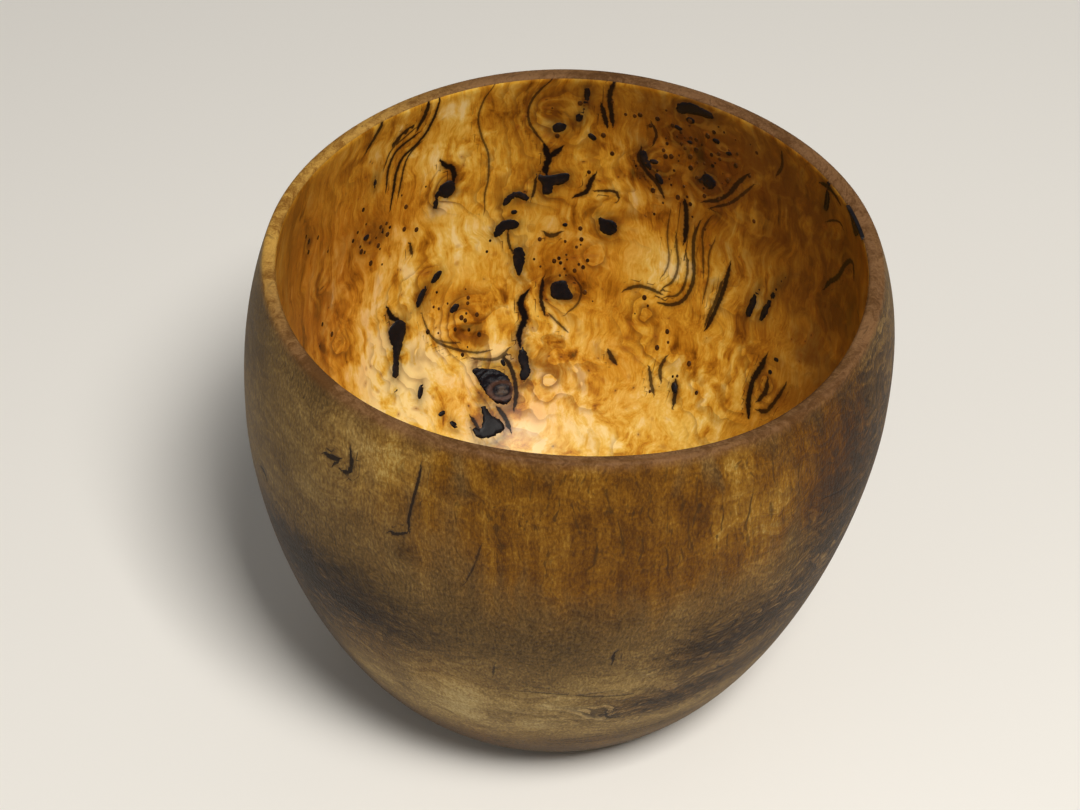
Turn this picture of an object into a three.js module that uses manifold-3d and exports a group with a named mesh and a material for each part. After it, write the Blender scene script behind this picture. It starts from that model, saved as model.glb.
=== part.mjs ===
// A small handmade drinking cup turned and carved from one piece of burl, without a handle.
// Its wall, its floor and its flat foot are one solid. Ingrown bark and one dead knot lie in
// pockets of the inner wall: each is a separate piece, seated in its own recess.
// Units are millimetres and +Z is up. The cup stands on z = 0, centred on its own outer box.

import * as THREE from 'three';
import { mergeVertices } from 'three/addons/utils/BufferGeometryUtils.js';
import Module from 'manifold-3d';

const wasm = await Module();
wasm.setup();

// ---------------------------------------------------------------- driving dimensions

const RIM_RADIUS = 46;      // outside of the rim, before it warps
const RIM_HEIGHT = 81.5;    // middle height of the rim above the table
const BELLY_SWELL = 3.8;    // how far the belly stands out past the rim
const SHOULDER_DROP = 25;   // from the rim down to the widest ring of the belly
const FOOT_RADIUS = 25.3;   // flat foot
const FLOOR_THICKNESS = 6;
const RIM_WALL = 2.4;
const BELLY_WALL = 3.4;
const EDGE_EASE = 0.6;      // both edges of the rim are rounded this far

const UNDERSIDE_FULLNESS = 1.6;   // 2 gives a quarter ellipse, more is squarer, less is straighter
const BOWL_FULLNESS = 2.5;
const SHOULDER_CLOSING = 2.6;     // power of the curve that draws the shoulder in to the rim

const FOOT_OFFSET = -3;           // the foot lies this far along X from the middle of the rim
const BOWL_SHIFT = [-0.2, -0.37]; // the bowl is hollowed slightly off the middle of the outside

// How the drying wood has pulled the rim, as waves round it: [waves, along X, along Y].
const RIM_WARP_OUT = [[2, -0.26, 0.75], [3, 0.64, 0.21], [4, -0.12, 0.72]];
const RIM_WARP_UP = [[1, -3.45, 0.19], [2, -0.7, 0.94], [3, -0.92, 0.13], [4, 0.32, 0]];
const WARP_UP_POWER = 3;          // the lift fades towards the table with this power

const POCKET_DEPTH = 1.2;         // how deep a piece of bark goes into the wall
const POCKET_CLEARANCE = 0.3;     // between a piece of bark and its recess, all round and below
const POCKET_REACH = 2;           // the cutting prisms stand this far into the bowl

const SEGMENTS = 60;              // facets round the cup
const UNDERSIDE_STEPS = 14;
const SHOULDER_STEPS = 7;
const EASE_STEPS = 3;

// ---------------------------------------------------------------- profile of the wall

const bellyRadius = RIM_RADIUS + BELLY_SWELL;
const bellyHeight = RIM_HEIGHT - SHOULDER_DROP;

// A quarter of a superellipse from (startRadius, startHeight) out and up to the widest ring.
function lowerCurve(startRadius, startHeight, widestRadius, fullness) {
  const points = [];
  for (let i = 0; i <= UNDERSIDE_STEPS; i++) {
    const angle = (i / UNDERSIDE_STEPS) * Math.PI / 2;
    const out = Math.sin(angle) ** (2 / fullness);
    const up = 1 - Math.cos(angle) ** (2 / fullness);
    points.push(new THREE.Vector2(
      startRadius + (widestRadius - startRadius) * out,
      startHeight + (bellyHeight - startHeight) * up,
    ));
  }
  return points;
}

// The radius of the shoulder at a height, for a wall face that is rimRadius at the rim.
function shoulderRadius(height, widestRadius, rimRadius) {
  const share = (height - bellyHeight) / SHOULDER_DROP;
  return widestRadius - (widestRadius - rimRadius) * share ** SHOULDER_CLOSING;
}

function shoulderCurve(widestRadius, rimRadius) {
  const points = [];
  for (let i = 1; i <= SHOULDER_STEPS; i++) {
    const height = bellyHeight + (SHOULDER_DROP - EDGE_EASE) * (i / SHOULDER_STEPS);
    points.push(new THREE.Vector2(shoulderRadius(height, widestRadius, rimRadius), height));
  }
  return points;
}

// The rounded edge between two faces that meet at a corner.
function easedEdge(from, corner, to) {
  return new THREE.QuadraticBezierCurve(from, corner, to).getPoints(EASE_STEPS).slice(1);
}

const outside = [
  ...lowerCurve(FOOT_RADIUS, 0, bellyRadius, UNDERSIDE_FULLNESS),
  ...shoulderCurve(bellyRadius, RIM_RADIUS),
];
const bowlRim = RIM_RADIUS - RIM_WALL;
const bowlBelly = bellyRadius - BELLY_WALL;
const inside = [
  ...lowerCurve(0, FLOOR_THICKNESS, bowlBelly, BOWL_FULLNESS),
  ...shoulderCurve(bowlBelly, bowlRim),
].reverse();

const outerEdge = easedEdge(
  outside.at(-1),
  new THREE.Vector2(RIM_RADIUS, RIM_HEIGHT),
  new THREE.Vector2(RIM_RADIUS - EDGE_EASE, RIM_HEIGHT),
);
const innerEdgeStart = new THREE.Vector2(bowlRim + EDGE_EASE, RIM_HEIGHT);
const innerEdge = easedEdge(
  innerEdgeStart,
  new THREE.Vector2(bowlRim, RIM_HEIGHT),
  inside[0],
);
const profile = [
  new THREE.Vector2(0, 0),
  ...outside,
  ...outerEdge,
  innerEdgeStart,
  ...innerEdge,
  ...inside.slice(1),
];
const firstBowlPoint = 1 + outside.length + outerEdge.length;

// ---------------------------------------------------------------- the warped shape

function waves(list, bearing) {
  let sum = 0;
  for (const [count, alongX, alongY] of list) {
    sum += alongX * Math.cos(count * bearing) + alongY * Math.sin(count * bearing);
  }
  return sum;
}

// Where a point of the true round profile ends up on the warped, leaning cup.
function warped(radius, height, bearing, inBowl) {
  const rise = height / RIM_HEIGHT;
  const stretch = 1 + waves(RIM_WARP_OUT, bearing) / RIM_RADIUS * rise;
  const awayFromAxis = Math.min(1, 2 * radius / RIM_RADIUS);
  const lift = waves(RIM_WARP_UP, bearing) * rise ** WARP_UP_POWER * awayFromAxis;
  const shift = inBowl ? BOWL_SHIFT : [0, 0];
  return new THREE.Vector3(
    radius * Math.cos(bearing) * stretch + FOOT_OFFSET * (1 - rise) + shift[0],
    radius * Math.sin(bearing) * stretch + shift[1],
    height + lift,
  );
}

// The bowl's face at a bearing and a height, with the directions along it.
function bowlFace(bearing, height) {
  const radiusAt = (h) => {
    if (h >= bellyHeight) {
      return shoulderRadius(h, bowlBelly, bowlRim);
    }
    const up = (h - FLOOR_THICKNESS) / (bellyHeight - FLOOR_THICKNESS);
    const cosine = (1 - up) ** (BOWL_FULLNESS / 2);
    return bowlBelly * Math.sqrt(1 - cosine * cosine) ** (2 / BOWL_FULLNESS);
  };
  const at = (b, h) => warped(radiusAt(h), h, b, true);
  const step = 0.01;
  const point = at(bearing, height);
  const across = at(bearing - step, height).sub(at(bearing + step, height)).normalize();
  const upward = at(bearing, height + step).sub(at(bearing, height - step));
  const inward = new THREE.Vector3().crossVectors(across, upward).normalize();
  const along = new THREE.Vector3().crossVectors(inward, across);
  return new THREE.Matrix4().makeBasis(across, along, inward).setPosition(point);
}

// ---------------------------------------------------------------- solids

function toSolid(geometry) {
  const bare = geometry.index ? geometry.toNonIndexed() : geometry.clone();
  bare.deleteAttribute('normal');
  bare.deleteAttribute('uv');
  const merged = mergeVertices(bare, 1e-4);
  const index = merged.index.array;
  const triVerts = [];
  for (let i = 0; i < index.length; i += 3) {
    const [a, b, c] = [index[i], index[i + 1], index[i + 2]];
    if (a !== b && b !== c && c !== a) {
      triVerts.push(a, b, c);
    }
  }
  return new wasm.Manifold(new wasm.Mesh({
    numProp: 3,
    vertProperties: new Float32Array(merged.attributes.position.array),
    triVerts: new Uint32Array(triVerts),
  }));
}

function toMesh(name, solid, material) {
  const result = solid.getMesh();
  const geometry = new THREE.BufferGeometry();
  geometry.setAttribute('position', new THREE.BufferAttribute(result.vertProperties, 3));
  geometry.setIndex(new THREE.BufferAttribute(result.triVerts, 1));
  geometry.computeVertexNormals();
  const mesh = new THREE.Mesh(geometry, material);
  mesh.name = name;
  return mesh;
}

function turnedCup() {
  const geometry = new THREE.LatheGeometry(profile, SEGMENTS);
  const place = geometry.attributes.position;
  for (let i = 0; i < place.count; i++) {
    const ring = i % profile.length;
    const bearing = (Math.floor(i / profile.length) % SEGMENTS) / SEGMENTS * Math.PI * 2;
    const { x: radius, y: height } = profile[ring];
    const point = warped(radius, height, bearing, ring >= firstBowlPoint);
    place.setXYZ(i, point.x, point.y, point.z);
  }
  return toSolid(geometry);
}

// An outline with every side moved outwards by a distance. A sharp corner is cut off square, at
// the same distance, so that the clearance holds all round it.
function grown(outline, distance) {
  const points = outline.map(([x, y]) => new THREE.Vector2(x, y));
  const sense = THREE.ShapeUtils.isClockWise(points) ? -1 : 1;
  const result = [];
  points.forEach((point, i) => {
    const sideIn = point.clone().sub(points.at(i - 1)).normalize();
    const sideOut = points[(i + 1) % points.length].clone().sub(point).normalize();
    const normalIn = new THREE.Vector2(sideIn.y, -sideIn.x).multiplyScalar(sense);
    const normalOut = new THREE.Vector2(sideOut.y, -sideOut.x).multiplyScalar(sense);
    const isSharp = sideIn.dot(sideOut) < 0 && sideIn.dot(normalOut) > 0;
    if (isSharp) {
      result.push(point.clone().addScaledVector(normalIn, distance)
        .addScaledVector(sideIn, distance));
      result.push(point.clone().addScaledVector(normalOut, distance)
        .addScaledVector(sideOut, -distance));
    } else {
      const corner = normalIn.clone().add(normalOut).normalize();
      result.push(point.clone().addScaledVector(corner, distance / corner.dot(normalOut)));
    }
  });
  return result;
}

// A prism through the bowl's face, over an outline drawn on that face.
function pocketPrism(pocket, growth, depth) {
  const shape = new THREE.Shape(grown(pocket.outline, growth));
  const geometry = new THREE.ExtrudeGeometry(shape, {
    depth: depth + POCKET_REACH,
    bevelEnabled: false,
  });
  geometry.translate(0, 0, -depth);
  const bearing = THREE.MathUtils.degToRad(pocket.bearing);
  geometry.applyMatrix4(bowlFace(bearing, pocket.level * RIM_HEIGHT));
  return toSolid(geometry);
}

// ---------------------------------------------------------------- pockets of the inner wall

// Each pocket has a bearing in degrees (anticlockwise from +X, seen from above), a level from
// 0 at the table to 1 at the rim, and an outline in millimetres round that point: to the right
// and up, as seen from the middle of the bowl.
const POCKETS = [
  { name: 'knot_ringed', bearing: 105.5, level: 0.267, outline: [[-4, 3.9], [-1.3, 3.5],
    [1.4, 2.1], [2.5, 0], [2.4, -2.4], [1, -3.4], [-0.9, -2.8], [-2.3, -0.9], [-3.2, 1.4]] },
  { name: 'bark_flame', bearing: 110.5, level: 0.209, outline: [[-2.8, 0.5], [-2.3, -1.9],
    [0.6, -2.4], [3.1, -1.5], [2.4, 0.3], [1.3, 1.2], [0.5, 3.1], [-0.3, 3.9], [-0.5, 0.8],
    [-1.5, -0.5]] },
  { name: 'bark_lens', bearing: 98.3, level: 0.302, outline: [[-0.9, 1.1], [-0.1, 3.4],
    [0.8, 1.6], [1.2, -0.7], [1.4, -1.4], [0.7, -2.7], [-0.2, -3.5], [-0.7, -2.2],
    [-0.5, -0.6]] },
  { name: 'bark_tadpole', bearing: 129, level: 0.423, outline: [[-1.6, 1.7], [-0.9, 3.2],
    [0.9, 3.7], [2.1, 2.8], [2, 0.8], [0.9, -1.1], [-0.4, -3.2], [-1.4, -6], [-2.8, -5.8],
    [-1.9, -3.2], [-1.3, -0.9]] },
  { name: 'bark_small_drop', bearing: 113.6, level: 0.445, outline: [[-1.2, -0.9], [-0.7, 0.3],
    [0.4, 1], [1.1, 0.6], [0.6, -0.4], [-0.5, -1.1]] },
  { name: 'bark_eye_middle', bearing: 89.3, level: 0.456, outline: [[-1.8, 1.1], [-0.7, 1.9],
    [0.7, 1.9], [1.3, 0.6], [2.1, -1.5], [0.2, -1.9], [-1.7, -1.3]] },
  { name: 'bark_slash_lower', bearing: 121.3, level: 0.498, outline: [[-1.3, -2], [-1.2, -0.9],
    [-0.3, 0.8], [1, 1.8], [1.4, 1.3], [0.6, -0.3], [-0.5, -1.9]] },
  { name: 'bark_slash_upper', bearing: 117.4, level: 0.529, outline: [[-1.2, -0.9],
    [-0.8, 0.2], [0.2, 1.1], [1.1, 1.1], [0.8, 0], [-0.3, -1]] },
  { name: 'bark_twin_lower', bearing: 98.9, level: 0.528, outline: [[-1, 1.8], [-0.3, 3],
    [0.8, 2.4], [1.1, 0.2], [0.6, -2], [-0.2, -3], [-0.9, -1]] },
  { name: 'bark_twin_upper', bearing: 101.3, level: 0.618, outline: [[-2.5, -1.9],
    [-2.4, -0.7], [-1.8, 0.8], [0.1, 1.5], [1.6, 0.9], [1.9, -0.2], [1.1, -0.8], [-0.4, -0.9],
    [-1.4, -1.9]] },
  { name: 'bark_arch', bearing: 99.8, level: 0.687, outline: [[-2.4, -1.2], [-1.9, 0.4],
    [-0.3, 1.5], [1.5, 0.9], [2.7, -0.8], [1.7, -0.7], [-0.2, 0.2], [-1.5, -1.2]] },
  { name: 'bark_eye_right', bearing: 80, level: 0.617, outline: [[-1.9, 2.6], [-1, 1.9],
    [0.7, 1.7], [1.6, 0.6], [1.3, -0.9], [0, -1.6], [-1.3, -0.8], [-1.7, 0.9]] },
  { name: 'bark_cluster', bearing: 92, level: 0.728, outline: [[-3.3, 1.7], [-1.3, 1.1],
    [2.2, 1.8], [2.4, 0.3], [1.2, -0.9], [-0.1, -1], [-0.3, -2.6], [-1.8, -2.8], [-2.1, -0.7],
    [-3, 0.5]] },
  { name: 'bark_drop', bearing: 114.8, level: 0.74, outline: [[-1.7, 0.7], [-1, 1.7],
    [1, 1.8], [1.6, 0.3], [1.1, -1.1], [-0.2, -1.6], [-1.3, -0.9], [-1.9, -3.7], [-2.5, -3.3],
    [-2.3, -0.5]] },
  { name: 'bark_top_dot', bearing: 91.6, level: 0.865, outline: [[-1.2, 0.3], [-0.7, 1],
    [0.5, 1.1], [1.2, 0.5], [1.1, -0.5], [0.3, -1], [-0.6, -1.2], [-1.1, -0.5]] },
  { name: 'bark_streak_top', bearing: 86.8, level: 0.932, outline: [[0.5, 4], [1, 2.5],
    [0.7, 0], [0.2, -2.6], [-0.5, -4.8], [-1.1, -4], [-1.1, -2.8], [-0.2, -1.5], [0, 1],
    [0, 3.6]] },
  { name: 'bark_crescent', bearing: 73, level: 0.805, outline: [[-1.1, 1.4], [-0.3, 2.6],
    [0.2, 1], [0.9, -0.8], [1.7, -2], [0.3, -1.8], [-0.8, -0.6]] },
  { name: 'bark_bar', bearing: 62.6, level: 0.972, outline: [[-3.2, -1.5], [-2.7, 0.3],
    [-1.1, 1.2], [1.3, 1], [3.1, 0.4], [3, -1.1], [0.8, -1.2], [-1.2, -1.6], [-2.4, -2.1]] },
  { name: 'bark_eye_dim', bearing: 58.8, level: 0.79, outline: [[-2.5, -0.7], [-1.7, 0.5],
    [-0.8, 1.8], [0.5, 1.5], [1.2, 0.4], [0.8, -0.8], [-0.2, -1.3], [-1.3, -0.6]] },
  { name: 'bark_streak_short', bearing: 45.2, level: 0.55, outline: [[0.9, 4.4], [0.2, 2.2],
    [-0.6, -0.3], [-0.9, -3], [-0.2, -3.9], [0.4, -2.3], [0.7, 0.7]] },
  { name: 'bark_streak_long', bearing: 41, level: 0.595, outline: [[2.5, 5.3], [1.4, 3.9],
    [0.3, 1.5], [-0.8, -2.5], [-1.5, -5.1], [-1.3, -6.4], [-0.5, -5.9], [0.1, -3], [0.8, 0.5],
    [1.7, 3.1]] },
  { name: 'bark_rim_branch', bearing: 28.5, level: 0.951, outline: [[1, 3], [0.5, 1.5],
    [0.4, -0.9], [-0.5, -3.9], [-1.4, -4.3], [-1.1, -1.9], [-0.6, 0.5], [0.2, 3]] },
  { name: 'bark_rim', bearing: 16.5, level: 0.977, outline: [[-3, 3.5], [-2, -0.4],
    [-1.2, -3.2], [0.1, -2], [1.7, -0.2], [3.8, 1.4], [4, 3.5]] },
];

// ---------------------------------------------------------------- materials and assembly

const burlWood = new THREE.MeshStandardMaterial({
  color: 0x9a6a35,
  roughness: 0.45,
  metalness: 0,
});
const darkBark = new THREE.MeshStandardMaterial({
  color: 0x17110e,
  roughness: 0.4,
  metalness: 0,
});

const blank = turnedCup();
let body = blank;
const fillings = [];
for (const pocket of POCKETS) {
  const recess = pocketPrism(pocket, POCKET_CLEARANCE, POCKET_DEPTH + POCKET_CLEARANCE);
  body = body.subtract(recess);
  const filling = pocketPrism(pocket, 0, POCKET_DEPTH).intersect(blank);
  fillings.push(toMesh(pocket.name, filling, darkBark));
}

const cup = new THREE.Group();
cup.name = 'burl_cup';
cup.add(toMesh('cup_body', body, burlWood));
cup.add(...fillings);

const box = new THREE.Box3().setFromObject(cup);
const middle = box.getCenter(new THREE.Vector3());
cup.position.set(-middle.x, -middle.y, 0);

export default cup;
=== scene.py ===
# %% [markdown]
# A burl cup, from its imported frame to a lit scene with a camera
#
# The real thing is a small handleless drinking cup, turned and carved from one piece of burl.
# The bowl inside is oiled until it shines like amber. The outside is only sanded and waxed, so
# it stays a satin grey-brown. Ingrown bark and a dead knot show as black islands in the bowl.
#
# The frame gives the exact place of every piece. This script builds the fine surfaces over it:
# one wall mesh made by Geometry Nodes from the turner's few sizes, an inlay for every piece of
# bark, and materials in which the grain flows round the knots as it does in a real burl.

# %% Load the frame
import math

import bmesh
import bpy
import numpy as np
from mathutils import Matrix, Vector, geometry


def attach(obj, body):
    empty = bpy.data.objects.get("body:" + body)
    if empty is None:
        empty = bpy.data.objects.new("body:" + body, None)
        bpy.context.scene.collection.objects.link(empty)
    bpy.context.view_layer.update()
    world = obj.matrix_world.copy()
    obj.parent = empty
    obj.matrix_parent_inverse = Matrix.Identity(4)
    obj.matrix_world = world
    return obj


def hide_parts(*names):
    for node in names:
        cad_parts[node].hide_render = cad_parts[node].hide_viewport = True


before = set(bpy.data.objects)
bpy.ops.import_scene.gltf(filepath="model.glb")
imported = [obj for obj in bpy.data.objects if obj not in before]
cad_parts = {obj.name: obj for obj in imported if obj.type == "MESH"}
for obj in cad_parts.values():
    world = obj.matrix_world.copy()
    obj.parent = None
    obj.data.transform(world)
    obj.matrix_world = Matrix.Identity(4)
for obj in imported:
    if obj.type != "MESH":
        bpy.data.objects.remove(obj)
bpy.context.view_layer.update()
scene = bpy.context.scene
MM = 0.001
print("frame nodes:", len(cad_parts))

# %% [markdown]
# The turner's sizes
#
# A wall could be traced as many points, but a turned shape has a rule: a quarter of a
# superellipse from the foot to the belly, then a power curve that draws the shoulder in. A
# handful of sizes says all of it, and the same sizes place the bark later on. They are written
# in millimetres, as on a drawing, and only the finished meshes are scaled to metres.

# %% Sizes of the cup
RIM_RADIUS = 46.0
RIM_HEIGHT = 81.5
BELLY_SWELL = 3.8
SHOULDER_DROP = 25.0
FOOT_RADIUS = 25.3
FLOOR_THICKNESS = 6.0
RIM_WALL = 2.4
BELLY_WALL = 3.4
EDGE_EASE = 0.6
UNDERSIDE_FULLNESS = 1.6
BOWL_FULLNESS = 2.5
SHOULDER_CLOSING = 2.6
FOOT_OFFSET = -3.0
BOWL_SHIFT = (-0.2, -0.37)
WARP_OUT = ((2, -0.26, 0.75), (3, 0.64, 0.21), (4, -0.12, 0.72))
WARP_UP = ((1, -3.45, 0.19), (2, -0.7, 0.94), (3, -0.92, 0.13), (4, 0.32, 0.0))
WARP_UP_POWER = 3

BELLY_RADIUS = RIM_RADIUS + BELLY_SWELL
BELLY_HEIGHT = RIM_HEIGHT - SHOULDER_DROP
BOWL_BELLY = BELLY_RADIUS - BELLY_WALL
BOWL_RIM = RIM_RADIUS - RIM_WALL
print("belly", round(2 * BELLY_RADIUS, 1), "mm across, at", BELLY_HEIGHT, "mm")

# %% [markdown]
# Finding a place on the wall
#
# Wood moves as it dries, so the rim is no longer round or level. The warp is a few waves round
# the rim, which fade towards the foot. The same small functions are needed twice: to put a
# piece of bark at a bearing and a height on the bowl, and to ask of any point of the wall which
# bearing and height it has. Bearings are in radians, anticlockwise from +X, seen from above.


# %% The warped shape as plain functions
def waves(table, bearing):
    return sum(x * np.cos(n * bearing) + y * np.sin(n * bearing) for n, x, y in table)


def bowl_radius(height):
    """The radius of the bowl's face at a height, before the wood warped."""
    share = np.clip((height - BELLY_HEIGHT) / SHOULDER_DROP, 0, 1)
    shoulder = BOWL_BELLY - (BOWL_BELLY - BOWL_RIM) * share**SHOULDER_CLOSING
    up = np.clip((height - FLOOR_THICKNESS) / (BELLY_HEIGHT - FLOOR_THICKNESS), 0, 1)
    cosine = (1 - up) ** (BOWL_FULLNESS / 2)
    lower = BOWL_BELLY * np.sqrt(1 - cosine**2) ** (2 / BOWL_FULLNESS)
    return np.where(height > BELLY_HEIGHT, shoulder, lower)


def warped(radius, height, bearing, shift):
    rise = height / RIM_HEIGHT
    stretch = 1 + waves(WARP_OUT, bearing) / RIM_RADIUS * rise
    lift = waves(WARP_UP, bearing) * rise**WARP_UP_POWER * np.minimum(1, 2 * radius / RIM_RADIUS)
    x = radius * np.cos(bearing) * stretch + FOOT_OFFSET * (1 - rise) + shift[0]
    y = radius * np.sin(bearing) * stretch + shift[1]
    return np.stack(np.broadcast_arrays(x, y, height + lift), axis=-1)


def outer_ring_box():
    """The middle of the outside's box, which the frame puts over the origin."""
    bearing = np.linspace(0, 2 * np.pi, 721)
    levels = np.linspace(0, 1, 60)[:, None]
    radius = BELLY_RADIUS - BELLY_SWELL * levels**SHOULDER_CLOSING
    ring = warped(radius, BELLY_HEIGHT + SHOULDER_DROP * levels, bearing, (0, 0))
    return (ring.min((0, 1)) + ring.max((0, 1)))[:2] / 2


CENTRE = -outer_ring_box()
BOWL_CENTRE = CENTRE + np.array(BOWL_SHIFT)


def on_bowl(bearing, height):
    return warped(bowl_radius(height), height, bearing, BOWL_CENTRE)


def place_of(points, shift):
    """The bearing and unwarped height of points on the wall."""
    height = points[:, 2].copy()
    for _ in range(8):
        rise = height / RIM_HEIGHT
        x = points[:, 0] - FOOT_OFFSET * (1 - rise) - shift[0]
        y = points[:, 1] - shift[1]
        bearing = np.arctan2(y, x)
        near = np.minimum(1, 2 * np.hypot(x, y) / RIM_RADIUS)
        height = points[:, 2] - waves(WARP_UP, bearing) * rise**WARP_UP_POWER * near
    return bearing, height


print("rim centre lies at", np.round(CENTRE, 2), "mm from the origin")

# %% [markdown]
# Node trees written as formulas
#
# Node trees are easy to draw and hard to read in code. Two small classes fix that. Wires adds a
# node from its type, its settings and its inputs. Term wraps one output socket, and its
# operators add the Math nodes, so that a line such as 1 - mask * 0.5 builds its own nodes.


# %% The formula classes
class Term:
    def __init__(self, wires, socket):
        self.wires = wires
        self.socket = socket

    def math(self, operation, *others):
        return self.wires.add("ShaderNodeMath", {"operation": operation}, [self, *others])

    def __add__(self, other):
        return self.math("ADD", other)

    def __sub__(self, other):
        return self.math("SUBTRACT", other)

    def __rsub__(self, other):
        return self.math("MULTIPLY", -1.0).math("ADD", other)

    def __mul__(self, other):
        return self.math("MULTIPLY", other)

    def __truediv__(self, other):
        return self.math("DIVIDE", other)

    def __pow__(self, other):
        return self.math("POWER", other)

    def __abs__(self):
        return self.math("ABSOLUTE")

    __radd__ = __add__
    __rmul__ = __mul__

    def step(self, low, high, start=0.0, end=1.0, soft=True):
        """Rises from start at low to end at high, smoothly unless soft is off."""
        kind = {"interpolation_type": "SMOOTHSTEP" if soft else "LINEAR"}
        return self.wires.add("ShaderNodeMapRange", kind, [self, low, high, start, end])

    def clamp(self):
        return self.wires.add("ShaderNodeClamp", {}, [self, 0.0, 1.0])


class Wires:
    def __init__(self, tree):
        self.tree = tree

    def fill(self, node, inputs):
        """Links or sets the inputs of a node, which are given by place or by name."""
        pairs = inputs.items() if isinstance(inputs, dict) else enumerate(inputs)
        for key, value in pairs:
            if isinstance(value, Term):
                self.tree.links.new(value.socket, node.inputs[key])
            elif value is not None:
                node.inputs[key].default_value = value

    def add(self, kind, settings=None, inputs=(), out=0):
        """Adds a node: its settings first, then its inputs."""
        node = self.tree.nodes.new(kind)
        for name, value in (settings or {}).items():
            setattr(node, name, value)
        self.fill(node, inputs)
        return Term(self, node.outputs[out])

    def vector(self, operation, *inputs):
        """Vector maths, of which only LENGTH gives a plain number."""
        out = "Value" if operation == "LENGTH" else "Vector"
        return self.add("ShaderNodeVectorMath", {"operation": operation}, inputs, out)

    def split(self, vector):
        """The three parts of a vector."""
        apart = self.add("ShaderNodeSeparateXYZ", {}, [vector])
        return [self.part(apart, axis) for axis in "XYZ"]

    def join(self, x, y, z):
        return self.add("ShaderNodeCombineXYZ", {}, [x, y, z])

    def object_place(self):
        """Where a point of a surface lies, in metres from the object's own origin."""
        return self.add("ShaderNodeTexCoord", {}, {}, "Object")

    def part(self, term, name):
        """One output of the node that a term came from."""
        return Term(self, term.socket.node.outputs[name])

    def blend(self, factor, low, high, mode="MIX"):
        """Mixes two colours by a factor."""
        settings = {"data_type": "RGBA", "blend_type": mode, "clamp_factor": True}
        low, high = (c if isinstance(c, Term) else (*c, 1.0) for c in (low, high))
        inputs = {"Factor": factor, 6: low, 7: high}
        return self.add("ShaderNodeMix", settings, inputs, 2)

    def attribute(self, name, out="Fac"):
        return self.add("ShaderNodeAttribute", {"attribute_name": name}, {}, out)

    def noise(self, place, scale, detail=2.0, rough=0.5, bend=0.0, out=0):
        inputs = {"Vector": place, "Scale": scale, "Detail": detail}
        inputs.update({"Roughness": rough, "Distortion": bend})
        return self.add("ShaderNodeTexNoise", {"noise_dimensions": "3D"}, inputs, out)

    def ramp(self, factor, *stops):
        """A colour ramp through (position, colour) stops."""
        node = self.add("ShaderNodeValToRGB", {}, [factor]).socket.node
        band = node.color_ramp.elements
        while len(band) < len(stops):
            band.new(0.5)
        for element, (position, colour) in zip(band, stops):
            element.position = position
            element.color = (*colour, 1.0)
        return Term(self, node.outputs[0])


print("formula classes ready")

# %% [markdown]
# The wall of the cup
#
# On the lathe this is one cut outside and one inside. In Blender it could be a spun profile,
# but then a new size means new points. A Geometry Nodes tree keeps the rule instead: it bends
# a flat grid into the cup, one column for each bearing and one row for each ring from the
# middle of the foot, up the outside, over the rim and down to the middle of the floor. The rows
# stand closer in the bowl than outside, because the fine veins are drawn there.

# %% Rows of the grid, as shares of its height
COLUMNS = 440
ROWS = 224
FOOT_END = 0.05
UNDERSIDE_END = 0.26
SHOULDER_END = 0.37
RIM_END = 0.41
BOWL_SHOULDER_END = 0.56


def linked(name, data):
    """Puts a new object that shows the data into the scene."""
    made = bpy.data.objects.new(name, data)
    scene.collection.objects.link(made)
    return made


def group_with_inputs(name, sizes):
    """An empty Geometry Nodes tree with one named number input for each size."""
    tree = bpy.data.node_groups.new(name, "GeometryNodeTree")
    tree.interface.new_socket("Geometry", in_out="INPUT", socket_type="NodeSocketGeometry")
    for label, value in sizes.items():
        socket = tree.interface.new_socket(label, in_out="INPUT", socket_type="NodeSocketFloat")
        socket.default_value = value
    tree.interface.new_socket("Geometry", in_out="OUTPUT", socket_type="NodeSocketGeometry")
    wires = Wires(tree)
    given = tree.nodes.new("NodeGroupInput")
    size = {label: Term(wires, given.outputs[label]) for label in sizes}
    return tree, wires, Term(wires, given.outputs["Geometry"]), size


def finish_group(wires, mesh):
    """Ends a tree: realises its instances and links its output."""
    mesh = wires.add("GeometryNodeRealizeInstances", {}, {"Geometry": mesh})
    wires.fill(wires.tree.nodes.new("NodeGroupOutput"), {"Geometry": mesh})


def made_plain(tree, sizes, name, start=None):
    """Runs a tree on an object and returns the result as a plain mesh object."""
    holder = linked(name + "_maker", start or bpy.data.meshes.new(name + "_start"))
    modifier = holder.modifiers.new("maker", "NODES")
    modifier.node_group = tree
    for item in tree.interface.items_tree:
        if item.item_type == "SOCKET" and item.in_out == "INPUT" and item.name in sizes:
            modifier[item.identifier] = sizes[item.name]
    shown = holder.evaluated_get(bpy.context.evaluated_depsgraph_get())
    mesh = bpy.data.meshes.new_from_object(shown)
    holder.modifiers.remove(modifier)
    bpy.data.objects.remove(holder)
    mesh.name = name
    return linked(name, mesh)


print("grid of", COLUMNS, "by", ROWS)

# %% [markdown]
# From a row of the grid to the turner's cut
#
# The main sizes are inputs of the tree, so a new rim radius or wall thickness can be typed into
# it and the whole wall follows. Each row of the grid lies on one stretch of the cut: the foot,
# the underside, the outer shoulder, the rim, the inner shoulder or the bowl. Every stretch has a
# number that changes over its own rows and stands still elsewhere, so one formula serves all.

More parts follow.
